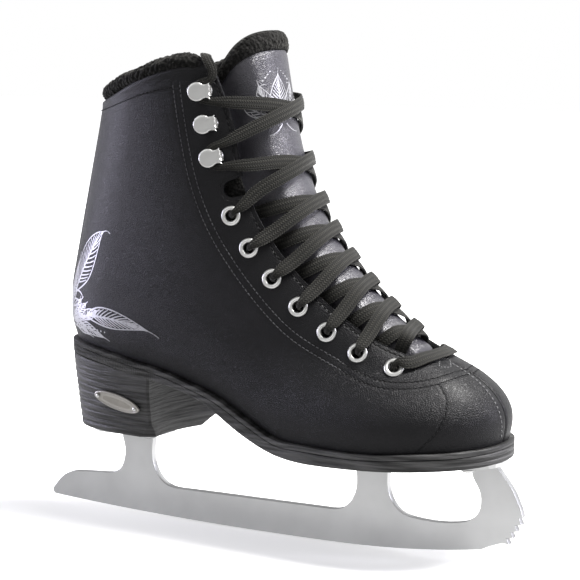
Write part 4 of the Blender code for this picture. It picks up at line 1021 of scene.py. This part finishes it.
def lace_strand(start, end, side, crest):
    """From the hole of one eyelet over the throat and under the far facing to the next one's hole.

    Each point is (rung, turn, height, half width, half thickness)."""
    (rung_a, turn_a), (rung_b, turn_b) = start, end
    edge_a = throat_turn(rung_a) / turn_a
    edge_b = throat_turn(rung_b) / turn_b
    steps = (
        (1.0, -0.6, BUNCHED),
        (0.985, 1.7, BUNCHED),
        (0.94, 2.7, (2.1, 0.85)),
        (0.86, 2.5, (3.1, 0.7)),
        (edge_a, 1.6, OPEN),
        (edge_a * 0.55, crest + 0.3, OPEN),
        (0.0, crest, OPEN),
        (-edge_b * 0.5, crest - 0.2, OPEN),
        (-edge_b * 0.85, -4.9, OPEN),
        (-edge_b - 0.04, LACE_UNDER, (3.0, 0.6)),
        (-0.95, LACE_UNDER, (1.8, 0.7)),
        (-0.985, -7.0, BUNCHED),
        (-1.0, -3.4, BUNCHED),
    )
    points = []
    for share, height, section in steps:
        t = (1 - share) / 2
        turn = side * share * (turn_a if share > 0 else turn_b)
        points.append((mix(rung_a, rung_b, t), turn, height, *section))
    return points


def lace_half(side):
    """One half of the lace, from the middle of the bar at the toe to its end inside the collar."""
    (first_rung, first_turn), (second_rung, second_turn) = EYELETS[:2]
    edge = throat_turn(second_rung) / second_turn
    crest = LACE_CREST[side < 0] + 0.8
    points = [
        (0.452, 0.0, 1.9, *OPEN),
        (0.457, side * 10, 1.8, *OPEN),
        (0.469, side * 21, 1.9, *OPEN),
        (0.485, side * 31, 2.5, 3.0, 0.75),
        (0.499, side * 35.5, 2.7, *BUNCHED),
        (0.499, side * 37.5, 1.7, *BUNCHED),
        (first_rung, side * first_turn, -0.6, *BUNCHED),
        (first_rung, side * first_turn, -3.4, *BUNCHED),
        (0.500, side * 37.5, -7.0, *BUNCHED),
        (0.503, side * 35.5, LACE_UNDER, 1.8, 0.7),
        (0.514, side * 25.0, LACE_UNDER, 2.6, 0.6),
        (0.524, side * 13, crest, *OPEN),
        (0.536, 0.0, crest, *OPEN),
        (0.549, -side * edge * second_turn * 0.5, crest, *OPEN),
        (0.560, -side * edge * second_turn * 0.85, -4.9, *OPEN),
        (0.568, -side * (edge + 0.04) * second_turn, LACE_UNDER, 2.8, 0.6),
        (second_rung, -side * second_turn * 0.95, LACE_UNDER, 1.8, 0.7),
        (second_rung, -side * second_turn * 0.985, -7.0, *BUNCHED),
        (second_rung, -side * second_turn, -3.4, *BUNCHED),
    ]
    here = -side
    for start, end in zip(EYELETS[1:], EYELETS[2:]):
        points += lace_strand(start, end, here, LACE_CREST[here < 0])
        here = -here
    return points + lace_top(here)


def lace_top(side):
    """From the last eyelet to the lowest hook opposite, back to the top hook, and down inside the boot."""
    last_rung, last_turn = EYELETS[-1]
    far = -side
    first, second = LACE_CREST[side < 0], LACE_CREST[far < 0]
    return [
        (last_rung, side * last_turn, -0.6, *BUNCHED),
        (last_rung + 0.001, side * 59.5, 1.7, *BUNCHED),
        (last_rung + 0.003, side * 57.0, 2.7, *BUNCHED),
        (last_rung + 0.006, side * 52.5, 2.5, 2.6, 0.8),
        (0.853, side * 45, 1.8, *OPEN),
        (0.863, side * 24, first + 0.3, *OPEN),
        (0.873, 0.0, first, *OPEN),
        (0.882, far * 24, first + 0.3, *OPEN),
        (0.889, far * 45, 2.2, 3.0, 0.7),
        (0.893, far * 55, 2.45, *HOOKED),
        (0.896, far * 61, 2.45, *HOOKED),
        (0.905, far * 64.5, 2.45, *HOOKED),
        (0.914, far * 61, 2.45, *HOOKED),
        (0.917, far * 55, 2.45, *HOOKED),
        (0.922, far * 45, 2.2, 3.0, 0.7),
        (0.932, far * 24, second + 0.3, *OPEN),
        (0.942, 0.0, second, *OPEN),
        (0.951, side * 24, second + 0.3, *OPEN),
        (0.958, side * 45, 2.2, 3.0, 0.7),
        (0.961, side * 56, 2.45, *HOOKED),
        (0.964, side * 62, 2.45, *HOOKED),
        (0.972, side * 65.5, 2.45, *HOOKED),
        (0.980, side * 62, 2.45, *HOOKED),
        (0.984, side * 56, 2.6, *HOOKED),
        (0.993, side * 54.5, 2.6, 2.2, 0.8),
        (1.003, side * 56.0, 2.2, 2.4, 0.7),
        (1.011, side * 57.5, 1.2, 2.4, 0.7),
        (1.013, side * 57.8, -3.0, 2.4, 0.7),
        (1.010, side * 58.0, -7.5, 2.4, 0.7),
        (0.998, side * 60.0, -10.6, 2.6, 0.7),
        (0.975, side * 64.5, -11.0, 3.0, 0.7),
        (0.930, side * 69.0, -11.0, 3.0, 0.7),
        (0.880, side * 74.0, -11.0, 2.0, 0.8),
    ]


def lace_route(step=0.55):
    """The lace's centre line, its flat direction and half sizes, in steps of one length."""
    outer, inner = lace_half(-1), lace_half(1)
    rung, turn, height, half_width, half_thick = np.array(outer[::-1] + inner[1:], float).T
    v = on_rung(rung, turn)
    centre = layer(v, turn, height)
    length = lengths(centre)
    middle = (length[1:] + length[:-1]) / 2
    knots = np.sort(np.concatenate([length, middle[np.diff(length) > 13]]))
    route, out = spline(length, centre, knots), spline(length, outward(v, turn), knots)
    at = np.arange(0, length[-1], step)
    centre, face = spline(knots, route, at), spline(knots, out, at)
    half_width, half_thick = (np.interp(at, length, value) for value in (half_width, half_thick))
    forward = directions(centre)
    flat = np.zeros_like(centre)
    last = np.cross(forward[0], face[0])
    for i, (ahead, out) in enumerate(zip(forward, face)):
        wanted = np.cross(ahead, out)
        last = unit(last - ahead * (last @ ahead))
        last = unit(last + 0.12 * wanted * np.sign(wanted @ last) * (wanted @ wanted))
        flat[i] = last
    return centre, forward, flat, half_width, half_thick, at


def lace():
    """The flat braided lace, with six ribs along it and its slanting stitches raised between them."""
    centre, forward, flat, half_width, half_thick, at = lace_route()
    thick = np.cross(forward, flat)
    around = 36
    angle = circle(around)
    across = np.sign(np.cos(angle)) * np.abs(np.cos(angle)) ** 0.62
    through = np.sign(np.sin(angle)) * np.abs(np.sin(angle)) ** 0.5
    ribs = 0.5 + 0.5 * np.cos(across * 3 * 2 * math.pi)
    slant = np.abs(((at[:, None] / 1.3 + np.abs(((across * 3) % 2) - 1) * 0.5) % 1) * 2 - 1)
    swell = -0.16 + 0.26 * ribs[None] * (0.55 + 0.45 * slant)
    wide = half_width[:, None] * across * 1.02
    deep = half_thick[:, None] * through + np.sign(through) * swell * (np.abs(through) > 0.4)
    rings = centre[:, None] + flat[:, None] * wide[..., None] + thick[:, None] * deep[..., None]
    made = loft("lace_braided", rings, BRAID, stands_for=["lace"], slot="black_lace")
    set_numbers(made, "braid_across", np.broadcast_to(across, (len(at), around)))
    set_numbers(made, "braid_along", np.broadcast_to(at[:, None], (len(at), around)))


# ------------------------------------------------------------------------------ the sole and heel

WELT_OUT, WELT_IN = 2.5, 9.0
OUTSOLE_OUT, OUTSOLE_TOP = 2.4, -3.2
HEEL_BOTTOM, HEEL_TOP, HEEL_MIDDLE_X = 46.5, 86.8, -58.0
HEEL_PLATE_LOW = 44.6


def sole_outline(grow, turn):
    edge = form(0 * turn, turn)[:, :2]
    step = form(0 * turn, turn + 0.5)[:, :2] - form(0 * turn, turn - 0.5)[:, :2]
    out = unit(np.stack([step[:, 1], -step[:, 0]], axis=1))
    return edge + np.asarray(grow)[..., None] * out


def even_turns(grow, count):
    """Turns that lie evenly along the sole's outline."""
    turn = np.linspace(0, 360, 721)
    length = lengths(sole_outline(grow, turn))
    return np.interp(np.linspace(0, length[-1], count + 1)[:-1], length, turn)


def heel_ribs(turn):
    """Fine upright ribs, four steps of the outline apart, round the edge over the heel."""
    x = sole_outline(0 * turn, turn)[:, 0]
    return 0.2 * np.sin(np.arange(len(turn)) * math.pi / 2 + 0.8) * ease((-40 - x) / 8)


def soles():
    """The welt, and the outsole with a shallow groove round its edge."""
    count = 1920
    turn = even_turns(WELT_OUT, count)
    edge = ((-0.5, -0.5), (-0.1, -0.62), (0.05, -0.85), (0.05, -1.5), (0.05, -2.5), (-0.05, -2.85),
            (-0.3, -3.0))
    profile = [(WELT_OUT + grow, height) for grow, height in edge] + [(-WELT_IN, -3.0), (-WELT_IN, -0.5)]
    rings = []
    for number, (grow, height) in enumerate(profile):
        outline = sole_outline(grow + (heel_ribs(turn) if 0 < number < 6 else 0), turn)
        rings.append(np.column_stack([outline, table(SOLE_TOP, outline[:, 0]) + height]))
    loft("welt_strip", np.stack(rings, axis=1), RUBBER, closed=True, stands_for=["welt"], slot="black_sole")

    front = even_turns(OUTSOLE_OUT, count)[: count // 2 + 1]
    turn = np.concatenate([front, 360 - front[-2:0:-1]])
    steps = ((0.0, -0.8), (0.04, -0.2), (0.12, 0.0), (0.36, 0.03), (0.42, -0.07), (0.46, -0.1), (0.5, -0.07),
             (0.56, 0.03), (0.9, 0.03), (0.97, -0.08), (1.0, -0.3))
    rings = []
    for share, grow in steps:
        outline = sole_outline(OUTSOLE_OUT + grow + (heel_ribs(turn) if 0 < share < 1 else 0), turn)
        x = outline[:, 0]
        low, high = table(SOLE_BOTTOM, x), table(SOLE_TOP, x) + OUTSOLE_TOP
        rings.append(np.column_stack([outline, mix(low, high, share)]))
    index = np.arange(len(steps) * count).reshape(len(steps), count)
    faces = quads(np.concatenate([index, index[:, :1]], axis=1))
    for ring, turned_over in ((index[0], False), (index[-1], True)):
        for k in range(1, count // 2 - 1):
            face = [int(ring[i]) for i in (k, k + 1, count - k - 1, count - k)]
            faces.append(face[::-1] if turned_over else face)
        for k in (0, count // 2 - 1):
            tip = [int(ring[i]) for i in ((0, 1, count - 1) if k == 0 else (k, k + 1, k + 2))]
            faces.append(tip[::-1] if turned_over else tip)
    made = piece("outsole_rubber", np.stack(rings), faces, RUBBER, ["outsole"], slot="black_sole")
    cut(made, [screw_bore(spot) for spot in sole_screw_frames()])


def heel_half_width(z, x):
    rise = (np.asarray(z, float) - HEEL_BOTTOM) / (87.0 - HEEL_BOTTOM)
    length = mix(52.5, 54.6, rise)
    width = table(((0, 22.8), (0.24, 26.0), (0.5, 29.2), (0.75, 31.8), (1, 33.4)), rise)
    back = np.clip((HEEL_MIDDLE_X - np.asarray(x, float)) / length, 0, 1)
    return width * (1 - back**2.2) ** (1 / 2.1)


def heel_plan(level, x_count=34):
    """The heel's outline at a height: the outer side, the back, the inner side, then the hollow breast."""
    rise = (level - HEEL_BOTTOM) / (87.0 - HEEL_BOTTOM)
    length = mix(52.5, 54.6, rise)
    angle = np.radians(np.linspace(4, 90, x_count))[:-1]
    side_x = HEEL_MIDDLE_X - length * np.sin(angle) ** (2 / 2.2)
    low = np.clip((55.0 - level) / 8.5, 0, 1)
    corner_outer, corner_inner = mix(-54.5, -49.5, rise) - 6.5 * low, mix(-46.0, -36.0, rise) - 10.0 * low
    half = heel_half_width(level, side_x)
    outer = [(corner_outer, -heel_half_width(level, corner_outer))] + list(zip(side_x, -half))
    inner = [(corner_inner, heel_half_width(level, corner_inner))] + list(zip(side_x, half))
    edge = mix(float(heel_half_width(level, -58)) - 1.2, 18.7, low)
    front_outer, front_inner = corner_outer + 1.0 + 6.2 * low, corner_inner + 1.0 + 5.5 * low
    hollow = mix(2.5, 7.0, rise)
    breast = [
        (mix(front_outer, front_inner, t) - hollow * math.sin(math.pi * t), mix(-edge, edge, t))
        for t in np.linspace(1, 0, 25)
    ]
    return np.array(outer + [(HEEL_MIDDLE_X - length, 0.0)] + inner[::-1]), np.array(breast)


LIFT = 3.6  # height of one layer of the heel


def heel_stack():
    """The heel's layers, each with a rounded edge, under a band of fine upright ribs."""
    levels = np.concatenate([[HEEL_BOTTOM], np.linspace(HEEL_BOTTOM + 0.25, HEEL_TOP, 120)])
    rings = []
    for number, level in enumerate(levels):
        wall, breast = heel_plan(level)
        ahead = directions(wall)
        out = np.column_stack([-ahead[:, 1], ahead[:, 0]])
        if (out[len(wall) // 2] @ (-1, 0)) < 0:
            out = -out
        along = lengths(wall)
        share = (level - HEEL_BOTTOM) / (HEEL_TOP - HEEL_BOTTOM)
        wave = np.abs(((level - HEEL_BOTTOM) / LIFT) % 1 * 2 - 1)
        ridge = 0.5 * (1 - wave**3) - 0.5
        band = np.exp(-(((share - 0.93) / 0.05) ** 4))
        ribs = 0.16 * np.clip(np.sin(along / 1.15 * 2 * math.pi) * 1.5, -1, 1) * band
        fade = np.minimum(1, np.minimum(along, along[-1] - along) / 3.0)
        wall = wall + out * ((ridge * (1 - band) + ribs - 0.1 * band) * fade)[:, None]
        plan = np.concatenate([wall, breast])
        if number == 0:
            plan = plan * 0.992 + (1 - 0.992) * np.array([-80.0, 0.0])
        top = table(SOLE_BOTTOM, plan[:, 0]) - 0.15
        height = mix(HEEL_BOTTOM, top, share) if number else np.full(len(plan), HEEL_BOTTOM)
        rings.append(np.column_stack([plan, height]))
    rings = np.stack(rings)
    count, around = rings.shape[:2]
    index = np.arange(count * around).reshape(count, around)
    faces = quads(np.concatenate([index, index[:, :1]], axis=1))
    for ring in (index[0], index[-1]):
        faces += heel_cap(rings.reshape(-1, 3), ring)
    made = piece("heel_layers", rings, faces, STACK, ["heel_stack"], slot="charcoal_heel_stack")
    bores = [screw_bore(spot) for spot in heel_screw_frames()]
    cut(made, bores + [screw_bore(place, 1.0) for _, place in badge_pins()])


def heel_cap(points, ring):
    """Faces over one of the heel's outlines, which is hollow at the breast."""
    build = bmesh.new()
    verts = [build.verts.new(points[i]) for i in ring]
    for i, vert in enumerate(verts):
        vert.index = i
    build.faces.new(verts)
    bmesh.ops.triangulate(build, faces=build.faces, ngon_method="EAR_CLIP")
    faces = [[int(ring[vert.index]) for vert in face.verts] for face in build.faces]
    build.free()
    return faces


def screw_bore(frame_here, radius=2.4):
    return drill(frame_here, radius, -3.0, 5.1, 18)


def plate_low(x):
    return table(SOLE_BOTTOM, x) - 0.4 - 1.8


def sole_screw_frames():
    found = []
    for x, y in ((60.0, 17.0), (90.0, 17.5), (120.0, 12.5)):
        slope = math.atan2(float(plate_low(x + 2.0) - plate_low(x - 2.0)), 4.0)
        for side in (-1, 1):
            place = Matrix.Translation(Vector((x, side * y, float(plate_low(x)))) * MM)
            found.append(place @ Matrix.Rotation(-slope, 4, "Y"))
    return found


def heel_screw_frames():
    places = [(x, side * y) for x, y in ((-96.0, 5.5), (-64.0, 9.0)) for side in (-1, 1)]
    return [Matrix.Translation(Vector((x, y, HEEL_PLATE_LOW)) * MM) for x, y in places]


def screws():
    """Pan-head screws with a cross cut in each head."""
    profile = ((0, 4.5), (1.4, 4.0), (1.8, 3.0), (1.8, -0.25), (3.7, -0.25), (3.65, -0.55), (3.3, -1.05),
               (2.6, -1.42), (1.6, -1.62), (0, -1.68))
    frames = sole_screw_frames(), heel_screw_frames()
    places = [(f"{kind}_screw_{number}", spot) for kind, group in zip(("sole", "heel"), frames)
              for number, spot in enumerate(group, 1)]
    copies("screw", *turned(profile, 32), STEEL_BRIGHT, places, "brushed_steel")
    cross = []
    slot = (-1.7, -0.32), (1.7, -0.32), (1.7, 0.32), (-1.7, 0.32)
    for turn in (0, 90):
        c, s = math.cos(math.radians(turn)), math.sin(math.radians(turn))
        corners = [(x * c - y * s, x * s + y * c) for x, y in slot]
        ends = np.array([[(x, y, z) for x, y in corners] for z in (-2.2, -0.9)])
        cross.append((np.reshape(ends, (-1, 3)) * MM, loft_faces(2, 4)))
    mesh = bpy.data.objects["sole_screw_1_metal"].data
    holder = link("holder", mesh.copy())
    cut(holder, cross)
    for made in [o for o in bpy.data.objects if o.data == mesh]:
        made.data = holder.data
    bpy.data.objects.remove(holder)


# -------------------------------------------------------------------------------- heel's badge


BADGE_LENGTH, BADGE_HEIGHT = 14.4, 4.6  # halves of its two widths
BADGE_PIN = 11.9  # from its middle


def badge_frame():
    x, z = -70.3, 65.5
    y = -float(heel_half_width(z, x))
    by_x = -float(heel_half_width(z, x + 1) - heel_half_width(z, x - 1)) / 2
    by_z = -float(heel_half_width(z + 1, x) - heel_half_width(z - 1, x)) / 2
    along, up = Vector((1, by_x, 0)).normalized(), Vector((0, by_z, 1)).normalized()
    out = along.cross(up).normalized()
    here = Matrix((along, out.cross(along), out)).transposed().to_4x4()
    here.translation = Vector((x, y, z)) * MM
    return here @ Matrix.Rotation(math.radians(-12), 4, "Z")


def badge_pins():
    ends = (("rear", -BADGE_PIN), ("front", BADGE_PIN))
    return [(f"badge_pin_{name}", badge_frame() @ Matrix.Translation((shift * MM, 0, 0)))
            for name, shift in ends]


def badge():
    """A plain oval plate with a raised rim, a band of upright ribs for ornament, and two pins."""
    angle = circle(90)
    rows = ((1.0, 1.0), (1.0, 1.6), (0.985, 1.92), (0.955, 2.08), (0.92, 2.04), (0.89, 1.78), (0.86, 1.7),
            (0.6, 1.8), (0.2, 1.84))
    rings = []
    for scale, z in rows:
        rim = BADGE_HEIGHT - BADGE_LENGTH * (1 - scale) * 0.7
        half = rim if scale > 0.8 else BADGE_HEIGHT * scale * 0.85
        long = BADGE_LENGTH * scale
        rings.append(np.column_stack([long * np.cos(angle), half * np.sin(angle), 0 * angle + z]))
    here = badge_frame()
    parts = [(put(np.stack(rings), here), loft_faces(len(rows), 90))]
    for x in np.linspace(-8.4, 8.4, 23):
        half = 1.9 * math.sqrt(1 - (x / 9.6) ** 2)
        box = np.array([[(x - 0.16, y, z), (x + 0.16, y, z), (x + 0.1, y, z + 0.3), (x - 0.1, y, z + 0.3)]
                        for y, z in ((-half, 1.72), (half, 1.72))])
        parts.append((put(box, here), loft_faces(2, 4)))
    points, faces = joined(parts)
    piece("heel_badge_plate", points, faces, ANTIQUE, ["heel_badge"], slot="satin_nickel", millimetres=False)
    profile = ((0, 3.0), (0.5, 2.95), (0.95, 2.7), (1.15, 2.4), (1.15, 2.15), (0.6, 2.1), (0.6, -2.5),
               (0, -2.5))
    copies("badge_pin", *turned(profile, 24), STEEL_BRIGHT, badge_pins(), "satin_nickel")


# ----------------------------------------------------------------------------------- the blade


def rocker(x):
    away = np.maximum(0, np.maximum(x - 11.0, -1.0 - x))
    return away**2 / (2 * 2134.0) + np.maximum(0, x - 45) ** 2 / (2 * 700.0)


def stanchion_top(start, stop):
    x = np.linspace(start, stop, 3)
    return np.column_stack([x, plate_low(x) - 0.3])


def blade():
    """Runner, stanchions and toe pick in one sheet of steel, with its edges eased."""
    x = np.concatenate([np.linspace(-131.5, -1.0, 24), np.linspace(11.0, 45, 6), np.linspace(50, 122, 18)])
    edge = np.column_stack([x, rocker(x)])
    drag = [(126.4, 9.2), (129.8, 10.5), (133.2, 11.7), (135.2, 11.6)]
    tooth, rise = np.array((136.6, 11.4)), np.array((2.13, 3.47))
    teeth = []
    for number in range(4):
        teeth += [tooth + rise * number, tooth + rise * number + (-1.35, 3.1)]
    top_front = stanchion_top(129.4, 118.8)
    front = run([(143.6, 25.5), (142.6, 28.6), (140.9, 32.6), (138.7, 37.1), (133.8, 43.8), top_front[0]], 24)
    top_ball = stanchion_top(72.6, 53.4)
    arch = run([
        top_front[-1], (117.0, 44.2), (118.4, 40.4), (120.9, 36), (121.8, 31), (120.6, 25.4), (117, 21.6),
        (109.3, 18.9), (97.9, 17.7), (87.3, 18.1), (78.5, 20.4), (73.6, 25.8), (71.7, 31.5), (71.5, 37.5),
        top_ball[0],
    ], 90)
    top_heel = HEEL_PLATE_LOW - 0.3
    bay_front = run([
        top_ball[-1], (54.2, 36.5), (54.3, 31), (52.6, 25), (48.6, 19.8), (42.5, 17.3), (36, 17),
    ], 36)
    bay_back = run([
        (-45, 16.3), (-52, 16.2), (-58, 17.3), (-63.2, 21), (-66.3, 26), (-67.6, 32.3), (-67.3, 39),
        (-66.4, top_heel),
    ], 36)
    tail_top = run([
        (-87, top_heel), (-86.1, 39.9), (-84.8, 34), (-85.4, 28.3), (-87.8, 23.2), (-92.7, 20.3), (-99, 19.3),
    ], 30)
    tail = run([
        (-117, 18.1), (-122, 16.7), (-126.8, 13.6), (-130.8, 9.2), (-132.6, 5.6), (-131.5, rocker(-131.5)),
    ], 24)
    outline = np.concatenate([
        edge, drag, teeth, front, top_front[1:-1], arch, top_ball[1:-1], bay_front, bay_back, tail_top,
        tail[:-1],
    ])
    curve = bpy.data.curves.new("blade", "CURVE")
    curve.dimensions, curve.fill_mode = "2D", "BOTH"
    curve.extrude, curve.bevel_depth, curve.bevel_resolution = 1.72 * MM, 0.28 * MM, 2
    curve.offset = -0.28 * MM
    line = curve.splines.new("POLY")
    line.points.add(len(outline) - 1)
    for point, (x, z) in zip(line.points, outline):
        point.co = (x * MM, z * MM, 0, 1)
    line.use_cyclic_u = True
    drawn = link("blade_curve", curve)
    bpy.context.view_layer.update()
    mesh = bpy.data.meshes.new_from_object(drawn.evaluated_get(bpy.context.evaluated_depsgraph_get()))
    bpy.data.objects.remove(drawn)
    mesh.name = "blade_steel"
    mesh.transform(Matrix.Rotation(math.pi / 2, 4, "X"))
    mesh.materials.clear()
    settle(link("blade_steel", finish(mesh, 25, STEEL)), ["blade_runner"], "boot")


# -------------------------------------------------------------------------- silver transfer prints


def strip(points, normals, wide, high=0.09):
    """A thin raised line on a surface, with its half width at each point."""
    side = unit(np.cross(normals, np.gradient(points, axis=0)))
    side = side * np.broadcast_to(wide, len(points))[:, None]
    rings = [points - side - normals * 0.08, points + side - normals * 0.08,
             points + side * 0.8 + normals * high, points - side * 0.8 + normals * high]
    return np.stack(rings, axis=1), loft_faces(len(points), 4)


def leaf(base, heading, length, width, bend, veins=7, hook=0.0):
    """Strokes of a leaf on a flat chart in millimetres: its spine, two edges and slanting veins."""
    t = np.linspace(0, 1, 26)
    turn = np.radians(heading + bend * t + hook * np.clip((t - 0.72) / 0.28, 0, 1) ** 2)
    steps = np.column_stack([np.cos(turn), np.sin(turn)])[:-1] * length / 25
    spine = np.array(base) + np.concatenate([[(0, 0)], np.cumsum(steps, 0)])
    side = np.column_stack([-np.sin(turn), np.cos(turn)])
    swell = width * np.sin(math.pi * np.clip(t / 0.86, 0, 1) ** 0.85)
    swell[t > 0.86] = 0
    strokes = [(spine, 0.34 * (1 - 0.75 * t) + 0.08)]
    for sign in (-1, 1):
        strokes.append((spine + side * (sign * swell)[:, None], 0.3 * np.ones(26) * (1 - 0.5 * t)))
        for place in np.linspace(0.14, 0.66, veins):
            tip = min(place + 0.16, 0.84)
            start = [np.interp(place, t, spine[:, k]) for k in (0, 1)]
            edge = [np.interp(tip, t, (spine + side * (sign * 0.86 * swell)[:, None])[:, k]) for k in (0, 1)]
            line = mix(np.array(start), np.array(edge), np.linspace(0, 1, 7)[:, None])
            arc = np.sin(math.pi * np.linspace(0, 1, 7))[:, None]
            bow = arc * side[int(place * 25)] * sign * 0.06 * width
            strokes.append((line + bow, np.linspace(0.3, 0.14, 7)))
    return strokes


def curl(base, heading, length, bend, wide=0.34):
    t = np.linspace(0, 1, 18)
    turn = np.radians(heading) + np.radians(bend) * t**1.6
    path = np.array(base) + np.cumsum(np.column_stack([np.cos(turn), np.sin(turn)]) * length / 18, 0)
    return [(path, wide * (1 - 0.85 * t) + 0.05)]


def dots(base, step, count, radius):
    """A row of small dots that shrink."""
    found = []
    for number in range(count):
        middle = np.array(base) + np.array(step) * number
        size = radius * (1 - 0.12 * number)
        found.append((middle + np.array([(-size, 0), (0, 0), (size, 0)]), np.array([0.4, 1.0, 0.4]) * size))
    return found


def drawing(leaves, curls, rows):
    """The strokes of a whole print."""
    shapes = [leaf(*values) for values in leaves] + [curl(*values) for values in curls]
    shapes += [dots(*values) for values in rows]
    return [stroke for shape in shapes for stroke in shape]


def heel_print():
    """Two sprays of leaves that rise from the back of the heel, drawn on the outer side."""
    leaves = (
        ((5, 30), 68, 44, 6.6, -38, 10, -62), ((1.5, 22), 88, 28, 3.6, -14, 8),
        ((-1, 14), 94, 25, 3.0, -8, 7), ((2.5, 12), 66, 20, 3.8, -20, 6),
        ((16, 17), 22, 34, 6.0, -36, 10, -44), ((13, 14), 52, 16, 3.0, -26, 6),
        ((9, 15), 66, 14, 2.5, -22, 5), ((9, 12), -26, 20, 3.6, 14, 6, -30), ((4, 12), -42, 17, 3.0, 22, 5),
        ((1, 10), 30, 18, 2.8, -12, 6),
    )
    curls = (
        ((5, 30), 20, 10, -110), ((3.5, 25), 10, 12, -80), ((2, 20), 16, 13, 70), ((17, 16), 70, 9, -120),
        ((16, 12), -60, 10, 80), ((5, 9), -60, 12, 90), ((0, 8), -20, 14, 60), ((-1, 11), 60, 13, -40),
    )
    rows = (((6, 17), (1.6, 1.4), 5, 0.55), ((11, 10.5), (2.0, -1.1), 5, 0.5),
            ((20, 9.5), (2.0, 0.2), 4, 0.5))
    shapes = []
    for path, wide in drawing(leaves, curls, rows):
        turn, v = -159 + path[:, 0] / 1.06, 0.03 + path[:, 1] / 94.0
        shapes.append(strip(form(v, turn), outward(v, turn), wide * 1.55))
    piece("print_heel_leaves", *joined(shapes), FOIL)


def tongue_print():
    """Leaves and curls on the tongue above the laces, with no lettering."""
    leaves = (
        ((0, 2), 92, 25, 4.6, -10, 9), ((-3, 2), 118, 21, 3.4, -22, 7), ((3, 2), 62, 21, 3.4, 22, 7),
        ((-6, 3), 146, 15, 2.6, -26, 5), ((6, 3), 34, 15, 2.6, 26, 5),
    )
    curls = (
        ((-2, 1), 178, 13, -70), ((2, 1), 2, 13, 70), ((-8, 14), 120, 8, -160), ((8, 14), 60, 8, 160),
        ((-1, -1), -120, 9, -60), ((1, -1), -60, 9, 60),
    )
    rows = (((-7, 21), (1.3, 1.4), 4, 0.5), ((7, 21), (-1.3, 1.4), 4, 0.5))
    shapes = []
    for path, wide in drawing(leaves, curls, rows):
        turn = path[:, 0] / 0.5 - 8
        rung = 0.922 + (path[:, 1] + 3.0) / 430.0
        v = on_rung(rung, turn)
        shapes.append(strip(layer(v, turn, tongue_depth(rung, turn)), outward(v, turn), wide * 1.15))
    piece("print_tongue_leaves", *joined(shapes), FOIL, body="tongue")


# --------------------------------------------------------------------------------- inside the boot


def footbed():
    """The plush footbed that shows down the shaft."""
    x = np.linspace(-99.5, 121.5, 150)
    sides = []
    for side in (-1, 1):
        outline = sole_outline(-9.7, side * np.linspace(180, 0, 361))
        sides.append(np.interp(x, outline[:, 0], outline[:, 1]))
    share = np.linspace(0, 1, 44)
    y = mix(sides[0][:, None], sides[1][:, None], share)
    x = x[:, None] + 0 * y
    base = table(SOLE_TOP, x.ravel()).reshape(x.shape)
    top = np.stack([x, y, base + 6.4], axis=-1)
    top[..., 2] -= 0.6 * cells(top.reshape(-1, 3), 2.0, 3).reshape(x.shape)
    made = slab("footbed_plush", top, np.stack([x, y, base + 2.9], axis=-1), PLUSH, stands_for=["footbed"],
                slot="black_plush")


def carried_over():
    """The hidden and plain solids of the CAD keep their shape and take a better material."""
    looks = (
        (LEATHER_PLAIN, ("facing_outer", "facing_inner")),
        (BOARD, ("heel_counter", "toe_box", "insole_board", "cork_filler")),
        (STEEL, ("shank", "sole_plate", "heel_plate")),
        (RUBBER, ("aglet_outer", "aglet_inner")),
    )
    for look, names in looks:
        for name in names:
            for holder in NODES[name].material_slots:
                holder.material = look


# Painted highlight: the tongue's purple-grey tint, five times the boot leather's, is a lit copy of the black
# leather that stands in for its satin sheen.
TONGUE_LEATHER_PAINTED_HIGHLIGHT = leather("tongue_leather", (0.021, 0.02, 0.027), 1.0, (0.26, 0.44))

leathers()
upper_stitching()
bar_tack()
backstay()
linings()
collar_roll()
tongue()
eyelets()
hooks()
lace()
soles()
heel_stack()
screws()
badge()
blade()
heel_print()
tongue_print()
footbed()
carried_over()
